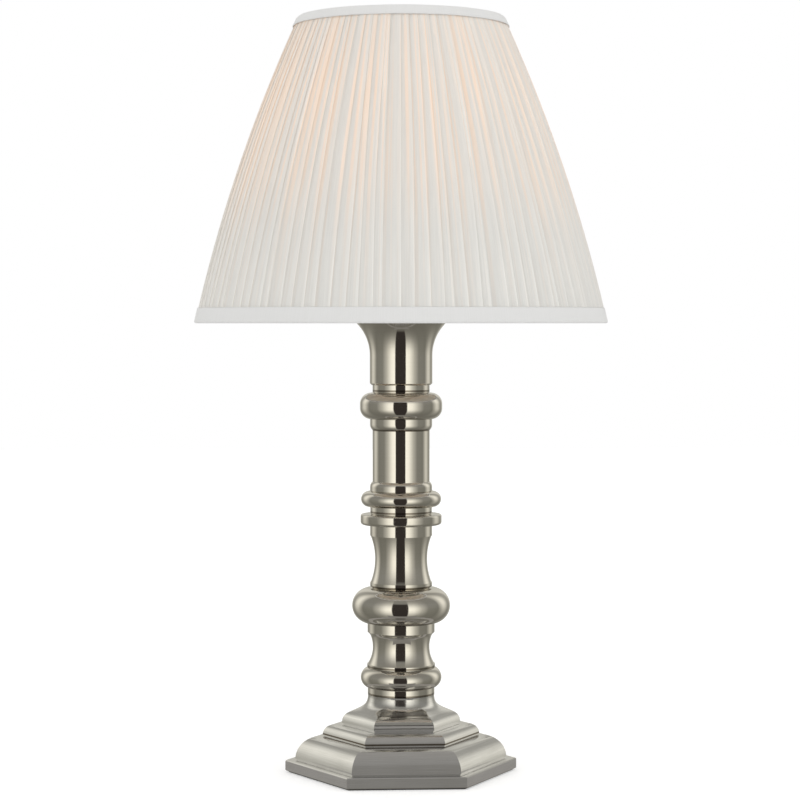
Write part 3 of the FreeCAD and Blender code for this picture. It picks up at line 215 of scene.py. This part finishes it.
for side in range(LOW_SIDES):
    turn = 2 * math.pi * side / LOW_SIDES
    for level in (CARD_FOOT, LOW_TALL if math.sin(turn) < -0.5 else SIDE_TALL):
        low_corners.append((LOW_AWAY * math.cos(turn), LOW_AWAY * math.sin(turn), level))
    follower = (side + 1) % LOW_SIDES
    low_faces.append((2 * side, 2 * side + 1, 2 * follower + 1, 2 * follower))
flag_card("low_card", low_corners, low_faces)

EYE_DISTANCE, EYE_TALL = 2.36, 0.45
EYE_TURN = math.radians(3.27)
eye = Vector((-EYE_DISTANCE * math.sin(EYE_TURN), -EYE_DISTANCE * math.cos(EYE_TURN), EYE_TALL))
aim = Vector((-0.0011, 0.0, 0.3724))
view = bpy.data.cameras.new("studio_camera")
view.lens = 106.4
view.sensor_width = 36.0
view.clip_end = 60.0
camera = bpy.data.objects.new("studio_camera", view)
camera.location = eye
camera.rotation_euler = (aim - eye).to_track_quat("-Z", "Y").to_euler()
bpy.context.scene.collection.objects.link(camera)
bpy.context.scene.camera = camera
bpy.context.scene.view_settings.view_transform = "Standard"


def soft_lamp(name, place, power):
    """A tall soft lamp turned towards the middle of the shade and stem, unseen in the metal."""
    lamp = bpy.data.lights.new(name, "AREA")
    lamp.shape = "RECTANGLE"
    lamp.size, lamp.size_y = 0.7, 1.6
    lamp.energy = power
    lamp_object = bpy.data.objects.new(name, lamp)
    lamp_object.location = place
    lamp_object.rotation_euler = (Vector((0, 0, 0.55)) - Vector(place)).to_track_quat("-Z", "Y").to_euler()
    lamp_object.visible_glossy = False
    bpy.context.scene.collection.objects.link(lamp_object)


soft_lamp("left_panel", (-1.9, -1.9, 1.2), 4.5)
soft_lamp("right_panel", (2.0, -1.8, 1.2), 6.5)


# --- felt pad -------------------------------------------------------------------------------
# A thin sheet of pressed felt, cut to the foot's hexagon a little inside its edge and glued
# under the foot plate to spare the table.

def principled(name, colour, roughness, metallic=0.0):
    material = bpy.data.materials.new(name)
    material.use_nodes = True
    shader = material.node_tree.nodes["Principled BSDF"]
    shader.inputs["Base Color"].default_value = (*colour, 1)
    shader.inputs["Roughness"].default_value = roughness
    shader.inputs["Metallic"].default_value = metallic
    return material, material.node_tree, shader


def object_place(tree):
    return new_node(tree, "ShaderNodeTexCoord").outputs["Object"]


def speckle(tree, place, scale, detail=2):
    node = new_node(tree, "ShaderNodeTexNoise")
    node.inputs["Scale"].default_value = scale
    node.inputs["Detail"].default_value = detail
    tree.links.new(place, node.inputs["Vector"])
    return node.outputs["Fac"]


def bump_of(tree, height, strength, distance):
    node = new_node(tree, "ShaderNodeBump")
    node.inputs["Strength"].default_value = strength
    node.inputs["Distance"].default_value = distance
    tree.links.new(height, node.inputs["Height"])
    return node


felt_material, tree, shader = principled("pressed_felt", (0.05, 0.05, 0.055), 0.95)
fibres = speckle(tree, object_place(tree), 900, 5)
tree.links.new(ramp(tree, fibres, [(0.3, (0.03, 0.03, 0.034, 1)), (0.7, (0.075, 0.075, 0.08, 1))]),
               shader.inputs["Base Color"])
tree.links.new(bump_of(tree, fibres, 0.6, 0.0004).outputs[0], shader.inputs["Normal"])

FELT_ROUNDING = 0.0004
felt_low, felt_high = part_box("felt_pad")
felt_reach = felt_high.x
bpy.ops.object.select_all(action="DESELECT")
bpy.ops.mesh.primitive_cylinder_add(
    vertices=6, radius=felt_reach, depth=felt_high.z - felt_low.z,
    location=(0, 0, (felt_high.z + felt_low.z) / 2), rotation=(0, 0, math.pi / 2), end_fill_type="NGON")
felt = bpy.context.object
felt.name = "felt_sheet"
bpy.ops.object.transform_apply(location=True, rotation=True, scale=True)
rounding = felt.modifiers.new("cut_edge", "BEVEL")
rounding.width = FELT_ROUNDING
rounding.segments = 2
bpy.ops.object.modifier_apply(modifier="cut_edge")
felt.data.materials.append(felt_material)
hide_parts("felt_pad")
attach(felt, "stand")


# --- metal of the foot and stem -------------------------------------------------------------
# Thin turned and cast pieces, polished, nickel plated and stacked on the rod, with a painted dark line of
# shade where two meet. Polishing leaves a very fine grain round the stem and along the foot's sides.

CREASE_ANGLE = math.radians(24)
WELD_REACH = 0.000002


def finish_nodes(material, *names):
    """Gives CAD pieces their finish and lets their curved faces shade smoothly."""
    for name in names:
        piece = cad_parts[name]
        piece.data.materials.clear()
        piece.data.materials.append(material)
        for face in piece.data.polygons:
            face.use_smooth = True
        piece.modifiers.new("joined_corners", "WELD").merge_threshold = WELD_REACH
        piece.modifiers.new("crisp_edges", "EDGE_SPLIT").split_angle = CREASE_ANGLE


def stretched(tree, place, scale):
    node = new_node(tree, "ShaderNodeMapping")
    node.inputs["Scale"].default_value = scale
    tree.links.new(place, node.inputs["Vector"])
    return node.outputs[0]


def node_group(name, inputs, outputs):
    group = bpy.data.node_groups.new(name, "ShaderNodeTree")
    for direction, sockets in (("INPUT", inputs), ("OUTPUT", outputs)):
        for label, kind in sockets:
            group.interface.new_socket(label, in_out=direction, socket_type="NodeSocket" + kind)
    ends = new_node(group, "NodeGroupInput").outputs, new_node(group, "NodeGroupOutput").inputs
    return group, *ends


JOINTS = [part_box(name)[0].z for name in (
    "base_tier_lower", "base_tier_middle", "base_tier_upper", "base_collar", "lower_bead", "lower_vase",
    "main_knop", "upper_vase", "disc_flange", "spacer_ring", "upper_bead", "column_tube",
    "column_head_ring", "upper_knop", "neck_ring")]
JOINT_RISE, JOINT_WIDE, TIER_JOINT_WIDE = 0.00008, 0.0014, 0.0011
PAINTED_SHADE_COLOUR = (0.12, 0.092, 0.062, 1)
STEM_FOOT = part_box("base_collar")[0].z
STEM_TALL = 0.5
GRAIN_STRETCH = (22, 22, 1400)
LINE_DARKNESS, CLOUD_DARKNESS, LEAST_DARKNESS = 15.0, 0.3, 0.25
CLOUD_ROUGHNESS = 0.02

plating, plating_in, plating_out = node_group(
    "plating_grain",
    [("Colour", "Color"), ("Dark Colour", "Color"), ("Roughness", "Float"), ("Grain", "Float"),
     ("Painted Shade Amount", "Float")],
    [("Colour", "Color"), ("Roughness", "Float"), ("Height", "Float")])
place = object_place(plating)
lines = speckle(plating, stretched(plating, place, GRAIN_STRETCH), 1.0, 3)
clouds = ramp(plating, speckle(plating, place, 26, 3), [(0.35, 0.0), (0.72, 1.0)])
line_part = sum_of(plating, "MULTIPLY", sum_of(plating, "SUBTRACT", lines, 0.5), plating_in["Grain"])
cloud_dark = sum_of(plating, "MULTIPLY_ADD", clouds, CLOUD_DARKNESS, LEAST_DARKNESS)
dark_share = sum_of(plating, "MULTIPLY_ADD", line_part, LINE_DARKNESS, cloud_dark, clamp=True)
clear_metal = blended(plating, dark_share, plating_in["Colour"], plating_in["Dark Colour"])
# Painted shade: a dark band just above each joint, on the foot of the upper piece, stands for the shade in
# the reveal between two pieces.
joint_stops = [(0.0, 0.0)]
for level in sorted(JOINTS):
    joint_top = level + (TIER_JOINT_WIDE if level < STEM_FOOT else JOINT_WIDE)
    joint_stops += [((level + JOINT_RISE) / STEM_TALL, 1.0), (joint_top / STEM_TALL, 0.0)]
stem_share = sum_of(plating, "DIVIDE", parts_of(plating, place)[2], STEM_TALL)
painted_shade_mask = ramp(plating, stem_share, joint_stops, smooth="CONSTANT")
painted_shade_share = sum_of(plating, "MULTIPLY", painted_shade_mask, plating_in["Painted Shade Amount"])
plating.links.new(blended(plating, painted_shade_share, clear_metal, PAINTED_SHADE_COLOUR), plating_out["Colour"])
roughness = sum_of(plating, "ADD", plating_in["Roughness"], line_part)
cloud_rough = sum_of(plating, "MULTIPLY", clouds, CLOUD_ROUGHNESS)
plating.links.new(sum_of(plating, "ADD", roughness, cloud_rough), plating_out["Roughness"])
plating.links.new(sum_of(plating, "MULTIPLY", lines, plating_in["Grain"]), plating_out["Height"])


def plated(name, colour, dark, roughness, grain, bump, painted_shade_amount=0.0):
    material, tree, shader = principled(name, colour, roughness, 1.0)
    detail = new_node(tree, "ShaderNodeGroup", node_tree=plating)
    detail.inputs["Colour"].default_value = (*colour, 1)
    detail.inputs["Dark Colour"].default_value = (*dark, 1)
    detail.inputs["Roughness"].default_value = roughness
    detail.inputs["Grain"].default_value = grain
    detail.inputs["Painted Shade Amount"].default_value = painted_shade_amount
    tree.links.new(detail.outputs["Colour"], shader.inputs["Base Color"])
    tree.links.new(detail.outputs["Roughness"], shader.inputs["Roughness"])
    relief = bump_of(tree, detail.outputs["Height"], bump, 0.0002)
    tree.links.new(relief.outputs[0], shader.inputs["Normal"])
    return material


satin_nickel = plated("satin_nickel", (0.725, 0.725, 0.725), (0.605, 0.60, 0.59), 0.15, 0.10, 0.02, 0.9)
finish_nodes(satin_nickel, "foot_plate", "base_tier_lower", "base_tier_middle", "base_tier_upper")
nickel = plated("polished_nickel", (0.70, 0.68, 0.64), (0.64, 0.61, 0.56), 0.06, 0.05, 0.05, 0.75)
finish_nodes(
    nickel, "base_collar", "lower_bead", "lower_vase", "main_knop", "upper_vase", "disc_flange",
    "spacer_ring", "upper_bead", "column_foot_ring", "column_tube", "column_head_ring", "upper_knop",
    "neck_ring", "candle_cup", "cup_cap", "finial")


# --- weight, rod and fastenings -------------------------------------------------------------
# A cast iron weight sits in the foot plate. A hollow steel rod with a washer and a nut at each
# end pulls the whole stem together. The harp, the shade's frame and the bulb's wire are steel too.

iron, tree, shader = principled("cast_iron", (0.06, 0.06, 0.06), 0.7, 0.3)
pits = speckle(tree, object_place(tree), 420)
tree.links.new(ramp(tree, pits, [(0.3, (0.04, 0.04, 0.04, 1)), (0.75, (0.10, 0.095, 0.09, 1))]),
               shader.inputs["Base Color"])
tree.links.new(bump_of(tree, pits, 0.5, 0.0005).outputs[0], shader.inputs["Normal"])
finish_nodes(iron, "base_weight")

steel = plated("bright_steel", (0.66, 0.66, 0.65), (0.52, 0.52, 0.51), 0.22, 0.16, 0.2)
finish_nodes(
    steel, "rod_lock_nut", "rod_washer", "cup_lock_nut", "threaded_rod", "harp_saddle", "harp_wire",
    "harp_stud", "harp_sleeve_left", "harp_sleeve_right", "shade_top_ring", "shade_bottom_ring",
    "shade_ribs", "shade_spider", "bulb_filament")


# --- cord bushing and switch knob -----------------------------------------------------------
# Small black mouldings with a satin skin. The bushing is pressed into the cord's hole at the
# back of the foot and the knob onto the switch shaft. The socket's inside is moulded too.

black, tree, shader = principled("black_moulding", (0.02, 0.02, 0.021), 0.38)
skin = speckle(tree, object_place(tree), 1600)
tree.links.new(bump_of(tree, skin, 0.2, 0.0001).outputs[0], shader.inputs["Normal"])
tree.links.new(ramp(tree, skin, [(0.3, 0.34), (0.7, 0.46)]), shader.inputs["Roughness"])
finish_nodes(black, "cord_bushing", "switch_knob", "socket_interior")


# --- lamp socket ----------------------------------------------------------------------------
# A drawn shell that snaps into a cap, both in the stem's finish, over a brown fibre liner. The
# screw shell, the contact and the switch shaft are brass.

socket_metal = plated("socket_nickel", (0.68, 0.66, 0.62), (0.60, 0.58, 0.54), 0.14, 0.08, 0.06)
finish_nodes(socket_metal, "socket_cap", "socket_shell")
brass = plated("drawn_brass", (0.78, 0.60, 0.30), (0.66, 0.48, 0.22), 0.24, 0.14, 0.1)
finish_nodes(brass, "socket_screw_shell", "socket_contact", "switch_shaft")
fibre, tree, shader = principled("fibre_liner", (0.30, 0.20, 0.12), 0.8)
flecks = speckle(tree, object_place(tree), 700)
tree.links.new(ramp(tree, flecks, [(0.3, (0.24, 0.16, 0.09, 1)), (0.7, (0.38, 0.27, 0.17, 1))]),
               shader.inputs["Base Color"])
finish_nodes(fibre, "socket_insulator")


# --- bulb -----------------------------------------------------------------------------------
# A frosted glass bulb, lit and warm, cemented into a bright pressed cap that screws into the
# socket. A glass stem inside carries the wire.

lit_glass, tree, shader = principled("frosted_bulb", (0.38, 0.36, 0.33), 0.42)
frost = speckle(tree, object_place(tree), 60)
tree.links.new(ramp(tree, frost, [(0.3, (1.0, 0.66, 0.40, 1)), (0.7, (1.0, 0.70, 0.44, 1))]),
               shader.inputs["Emission Color"])
shader.inputs["Emission Strength"].default_value = 1.0
finish_nodes(lit_glass, "bulb_glass")
cap_metal = plated("bulb_cap_metal", (0.74, 0.74, 0.73), (0.62, 0.62, 0.61), 0.25, 0.1, 0.1)
finish_nodes(cap_metal, "bulb_cap", "bulb_contact")
mount_glass, tree, shader = principled("mount_glass", (0.9, 0.93, 0.93), 0.05)
shader.inputs["Transmission Weight"].default_value = 0.9
drawn_lines = speckle(tree, object_place(tree), 300)
tree.links.new(ramp(tree, drawn_lines, [(0.3, 0.03), (0.7, 0.09)]), shader.inputs["Roughness"])
finish_nodes(mount_glass, "bulb_stem")


# --- shade lining ---------------------------------------------------------------------------
# Smooth off-white cloth stretched inside the wire frame and sewn to its two rings. It passes
# some of the light.

LOWER_RADIUS, UPPER_RADIUS, BOW, SHADE_TALL = 0.2052, 0.1024, 0.0088, 0.303
shade_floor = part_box("shade_bottom_band")[0].z
middle_radius = (LOWER_RADIUS + UPPER_RADIUS) / 2 + BOW
side_radius = (2 * middle_radius ** 2 - LOWER_RADIUS ** 2 - UPPER_RADIUS ** 2 - SHADE_TALL ** 2 / 2) / (
    4 * middle_radius - 2 * LOWER_RADIUS - 2 * UPPER_RADIUS)
side_height = (UPPER_RADIUS ** 2 - LOWER_RADIUS ** 2 + SHADE_TALL ** 2
               - 2 * side_radius * (UPPER_RADIUS - LOWER_RADIUS)) / (2 * SHADE_TALL)
side_reach = math.hypot(LOWER_RADIUS - side_radius, side_height)


def crest(height):
    """Radius of the shade's outer side at a height above its lower rim."""
    return side_radius + math.sqrt(side_reach ** 2 - (height - side_height) ** 2)


def cloth_mesh(name, rows, columns, point):
    """A closed sheet laid out in rows and columns, with a UV map in metres along the cut."""
    verts = [point(row / rows, column / columns)[0]
             for row in range(rows + 1) for column in range(columns)]
    uvs, faces = [], []
    for row in range(rows):
        for column in range(columns):
            follower = (column + 1) % columns
            faces.append((row * columns + column, row * columns + follower,
                          (row + 1) * columns + follower, (row + 1) * columns + column))
            for r, c in ((row, column), (row, column + 1), (row + 1, column + 1), (row + 1, column)):
                uvs.append(point(r / rows, c / columns)[1])
    mesh = bpy.data.meshes.new(name)
    mesh.from_pydata(verts, [], faces)
    layer = mesh.uv_layers.new(name="cut")
    for item, uv in zip(layer.data, uvs):
        item.uv = uv
    for face in mesh.polygons:
        face.use_smooth = True
    piece = bpy.data.objects.new(name, mesh)
    bpy.context.scene.collection.objects.link(piece)
    return piece


def thicken(piece, thickness, offset=0.0):
    bpy.ops.object.select_all(action="DESELECT")
    piece.select_set(True)
    bpy.context.view_layer.objects.active = piece
    wall = piece.modifiers.new("cloth_thickness", "SOLIDIFY")
    wall.thickness = thickness
    wall.offset = offset
    bpy.ops.object.modifier_apply(modifier="cloth_thickness")


weave, weave_in, weave_out = node_group(
    "plain_weave", [("Threads", "Float")], [("Height", "Float"), ("Slub", "Float")])
cut = new_node(weave, "ShaderNodeUVMap").outputs[0]
scaled = new_node(weave, "ShaderNodeVectorMath", operation="SCALE")
weave.links.new(cut, scaled.inputs[0])
weave.links.new(weave_in["Threads"], scaled.inputs["Scale"])
thread_parts = parts_of(weave, scaled.outputs[0])
warp = sum_of(weave, "SINE", thread_parts[0])
weft = sum_of(weave, "SINE", thread_parts[1])
crossing = sum_of(weave, "MULTIPLY", warp, weft)
weave.links.new(sum_of(weave, "MULTIPLY_ADD", crossing, 0.5, 0.5), weave_out["Height"])
weave.links.new(speckle(weave, stretched(weave, cut, (900, 14, 1)), 1.0, 4), weave_out["Slub"])

THREADS = 5200.0


def cloth(name, colour, dark, through, share, bump=0.12, crease=0.15):
    """Off-white cloth that lets a share of the light behind it through."""
    material, tree, shader = principled(name, colour, 0.85)
    shader.inputs["Sheen Weight"].default_value = 0.15
    woven = new_node(tree, "ShaderNodeGroup", node_tree=weave)
    woven.inputs["Threads"].default_value = THREADS
    tone = ramp(tree, woven.outputs["Slub"], [(0.3, (*dark, 1)), (0.7, (*colour, 1))])
    tree.links.new(tone, shader.inputs["Base Color"])
    cut = new_node(tree, "ShaderNodeUVMap").outputs[0]
    creases = bump_of(tree, speckle(tree, stretched(tree, cut, (420, 6, 1)), 1.0), crease, 0.0006)
    relief = bump_of(tree, woven.outputs["Height"], bump, 0.0001)
    tree.links.new(creases.outputs[0], relief.inputs["Normal"])
    tree.links.new(relief.outputs[0], shader.inputs["Normal"])
    behind = new_node(tree, "ShaderNodeBsdfTranslucent")
    behind.inputs["Color"].default_value = (*through, 1)
    mixed = new_node(tree, "ShaderNodeMixShader")
    mixed.inputs[0].default_value = share
    tree.links.new(shader.outputs[0], mixed.inputs[1])
    tree.links.new(behind.outputs[0], mixed.inputs[2])
    tree.links.new(mixed.outputs[0], tree.nodes["Material Output"].inputs["Surface"])
    return material


LINING_INSET = 0.0066
LINING_THICK = 0.0005
CUT_PER_HEIGHT = 1.05
lining_low, lining_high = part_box("shade_lining")


def lining_point(up, round_share):
    height = (lining_low.z + (lining_high.z - lining_low.z) * up) - shade_floor
    reach = crest(height) - LINING_INSET
    angle = 2 * math.pi * round_share
    spot = (reach * math.cos(angle), reach * math.sin(angle), shade_floor + height)
    return spot, (round_share * 2 * math.pi * LOWER_RADIUS, height * CUT_PER_HEIGHT)


lining = cloth_mesh("shade_lining_cloth", 30, 192, lining_point)
thicken(lining, LINING_THICK)
lining.data.materials.append(cloth(
    "lining_cloth", (0.90, 0.885, 0.85), (0.87, 0.855, 0.82), (0.93, 0.90, 0.84), 0.5))
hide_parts("shade_lining")
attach(lining, "shade")


# --- pleated cover --------------------------------------------------------------------------
# One long strip of fine off-white cloth, folded by hand into 96 knife pleats that all lie the
# same way and sewn to the frame's rings. It is gathered into half the width at the top, so the
# folds lap further over each other there, and no two are quite alike.

PLEATS = 96
PLEAT_CUT = 0.0182
STRIP_TALL = 0.32
CLOTH_THICK = 0.00022
LEAST_LAP = 0.0012
pleat_low, pleat_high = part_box("shade_pleats")
shuffle = random.Random(7)
fold_jitter = [shuffle.uniform(-0.28, 0.28) for _ in range(PLEATS)]
fold_drift = [(shuffle.uniform(-0.14, 0.14), shuffle.uniform(0, 6.28), shuffle.uniform(0.6, 1.6))
              for _ in range(PLEATS)]
face_crown = [(shuffle.uniform(-0.4, 1.1), shuffle.uniform(0, 6.28), shuffle.uniform(0.5, 1.4))
              for _ in range(PLEATS)]

# One pleat in section: share of the way from its fold edge to the next, lap under that edge in
# units of the lap, depth behind the crest in millimetres, and share of the pleat's cloth so far.
SECTION = [
    (0.0, -1.0, 1.02, 0.0), (0.0, -0.45, 0.90, 0.15), (0.0, 0.0, 0.74, 0.26), (0.16, 0.0, 0.52, 0.34),
    (0.36, 0.0, 0.38, 0.43), (0.58, 0.0, 0.27, 0.53), (0.80, 0.0, 0.19, 0.63), (0.95, 0.0, 0.14, 0.70),
    (1.0, 0.03, 0.20, 0.725), (1.0, -0.02, 0.39, 0.74), (1.0, -0.42, 0.46, 0.84),
    (1.0, -0.97, 0.66, 0.96), (1.0, -1.04, 0.84, 0.98),
]
PER_PLEAT = len(SECTION)


def fold_angle(pleat, up):
    amount, phase, pace = fold_drift[pleat % PLEATS]
    sway = fold_jitter[pleat % PLEATS] + amount * math.sin(phase + pace * 3.1 * up)
    return 2 * math.pi * (pleat + sway) / PLEATS


def pleat_point(up, round_share):
    pleat, part = divmod(round(round_share * PLEATS * PER_PLEAT), PER_PLEAT)
    share, lap, depth, along_cut = SECTION[part]
    height = (pleat_low.z + (pleat_high.z - pleat_low.z) * up) - shade_floor
    radius = crest(height)
    here, there = fold_angle(pleat, up), fold_angle(pleat + 1, up)
    spacing = 2 * math.pi * radius / PLEATS
    lap_length = max(LEAST_LAP, (PLEAT_CUT - spacing) / 2)
    lap_angle = min(lap_length / radius, 0.92 * (there - here))
    angle = here + (there - here) * share + lap * lap_angle
    amount, phase, pace = face_crown[pleat % PLEATS]
    crown = amount * math.sin(math.pi * share) * (0.6 + 0.4 * math.sin(phase + pace * 4.0 * up))
    reach = radius - 0.001 * max(0.08, depth - 0.35 * crown)
    spot = (reach * math.cos(angle), reach * math.sin(angle), shade_floor + height)
    return spot, ((pleat + along_cut) * PLEAT_CUT, height * CUT_PER_HEIGHT)


cover_cloth = cloth("pleated_cloth", (0.90, 0.905, 0.885), (0.845, 0.85, 0.835), (0.95, 0.93, 0.89), 0.32,
                    crease=0.9)
tree = cover_cloth.node_tree
shader = tree.nodes["Principled BSDF"]
tone = shader.inputs["Base Color"].links[0].from_socket
cut = new_node(tree, "ShaderNodeUVMap").outputs[0]
cut_parts = parts_of(tree, cut)
cut_height = sum_of(tree, "DIVIDE", cut_parts[1], STRIP_TALL)
fold_place = sum_of(tree, "FRACT", sum_of(tree, "DIVIDE", cut_parts[0], PLEAT_CUT))
lane = speckle(tree, stretched(tree, cut, (400, 2.2, 1)), 1.0)

# Painted light: a peach tint in the base colour stands for the bulb's light showing through between the laps,
# strongest in the upper half and uneven from lane to lane.
lit_height = ramp(tree, cut_height, [
    (0.0, 0.10), (0.22, 0.22), (0.52, 0.78), (0.74, 1.0), (0.9, 0.82), (1.0, 0.60)])
painted_glow_share = sum_of(tree, "MULTIPLY", lit_height, ramp(tree, lane, [(0.47, 0.16), (0.62, 1.0)]))
tone = blended(tree, sum_of(tree, "MULTIPLY", painted_glow_share, 0.8), tone, (0.77, 0.70, 0.64, 1))

# Painted shade: the cloth's colour darkens a little towards the hollow of each fold.
face_tone = ramp(tree, fold_place, [(0.26, 0.0), (0.33, 0.35), (0.46, 0.8), (0.64, 1.0)], smooth="LINEAR")
uneven = ramp(tree, lane, [(0.38, 0.25), (0.60, 1.0)])
depth = sum_of(tree, "MULTIPLY", sum_of(tree, "SUBTRACT", 1.0, face_tone), uneven)
painted_hollow_shade_tone = blended(tree, 1.0, tone, (0.875, 0.865, 0.855, 1), "MULTIPLY")
tree.links.new(blended(tree, depth, tone, painted_hollow_shade_tone), shader.inputs["Base Color"])

# Painted light: a weak glow of the cloth's own stands for the bulb's light in the lanes and, in the hollows,
# for the light the folds pass on to each other, which lifts the shade there.
FOLD_GLOW = 0.24
warm_light = blended(tree, painted_glow_share, (0, 0, 0, 1), (1.0, 0.57, 0.28, 1))
hollow = ramp(tree, fold_place, [(0.24, 1.0), (0.30, 0.0), (0.70, 0.0), (0.73, 1.0)], smooth="LINEAR")
hollow_light = blended(tree, hollow, (0, 0, 0, 1), ramp(tree, cut_height, [
    (0.0, (0.66, 0.65, 0.64, 1)), (0.45, (0.36, 0.35, 0.33, 1)), (1.0, (0.20, 0.18, 0.16, 1))]))
tree.links.new(blended(tree, 1.0, warm_light, hollow_light, "ADD"), shader.inputs["Emission Color"])
shader.inputs["Emission Strength"].default_value = FOLD_GLOW

cover = cloth_mesh("shade_pleated_cloth", 38, PLEATS * PER_PLEAT, pleat_point)
thicken(cover, CLOTH_THICK, -1.0)
bpy.ops.object.shade_smooth_by_angle(angle=math.radians(35))
cover.data.materials.append(cover_cloth)
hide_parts("shade_pleats")
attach(cover, "shade")


# --- bands on the shade's rims --------------------------------------------------------------
# Bias strips of a like cloth, one round each rim. Each is folded over the hoop and glued, with
# its raw edge turned in.

BAND_COLUMNS = 256
BAND_THICK = 0.0005
PROUD = 0.0007
band_cloth = cloth("band_cloth", (0.855, 0.855, 0.85), (0.83, 0.83, 0.82), (0.92, 0.90, 0.86), 0.14, bump=0.2)


def band_piece(name, rows, cad_node):
    """A strip turned round the shade. Each row along its width is a height over the lower rim,
    how far it stands out from the cover's crest there, and how far it is moved up."""
    outline = [(crest(level) + out, level + rise) for level, out, rise in rows]
    lengths = [0.0]
    for (r0, z0), (r1, z1) in zip(outline, outline[1:]):
        lengths.append(lengths[-1] + math.hypot(r1 - r0, z1 - z0))
    ripple = random.Random(len(name))
    waves = [(ripple.uniform(0.00004, 0.00012), ripple.randint(3, 29), ripple.uniform(0, 6.28))
             for _ in range(7)]

    def band_point(up, round_share):
        row = round(up * (len(outline) - 1))
        radius, height = outline[row]
        angle = 2 * math.pi * round_share
        wave = sum(size * math.sin(count * angle + phase) for size, count, phase in waves)
        reach = radius + wave * (0.2 if row in (0, len(outline) - 1) else 1.0)
        return ((reach * math.cos(angle), reach * math.sin(angle), shade_floor + height),
                (angle * outline[0][0], lengths[row]))

    piece = cloth_mesh(name, len(outline) - 1, BAND_COLUMNS, band_point)
    thicken(piece, BAND_THICK)
    piece.data.materials.append(band_cloth)
    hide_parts(cad_node)
    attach(piece, "shade")


LOWER_EDGE = 0.0150
band_piece("shade_lower_trim", [
    (LOWER_EDGE, 0.0002, -0.0016), (LOWER_EDGE, 0.0003, -0.0004), (LOWER_EDGE, 0.0007, 0.0),
    (LOWER_EDGE, PROUD, -0.0006),
    *((level, PROUD, 0.0) for level in (0.0130, 0.0100, 0.0070, 0.0042, 0.0022)),
    (0.0012, PROUD - 0.0003, 0.0), (0.0006, PROUD - 0.0009, 0.0), (0.0, -0.0012, 0.0003),
    (0.0, -0.0062, 0.0004), (0.0010, -0.0078, 0.0),
    *((level, -0.0083, 0.0) for level in (0.0030, 0.0070, 0.0110, 0.0146)),
], "shade_bottom_band")
UPPER_EDGE = SHADE_TALL - 0.0093
band_piece("shade_upper_trim", [
    (UPPER_EDGE, 0.0002, 0.0016), (UPPER_EDGE, 0.0004, 0.0003), (UPPER_EDGE, 0.0008, 0.0),
    (UPPER_EDGE, PROUD + 0.0002, 0.0006),
    *((SHADE_TALL - below, PROUD + 0.0003, 0.0) for below in (0.0070, 0.0050, 0.0030, 0.0016)),
    (SHADE_TALL, PROUD, -0.0008), (SHADE_TALL, PROUD - 0.0007, -0.0003), (SHADE_TALL, -0.0010, -0.0002),
    (SHADE_TALL, -0.0050, -0.0002), (SHADE_TALL, -0.0078, -0.0004),
], "shade_top_band")
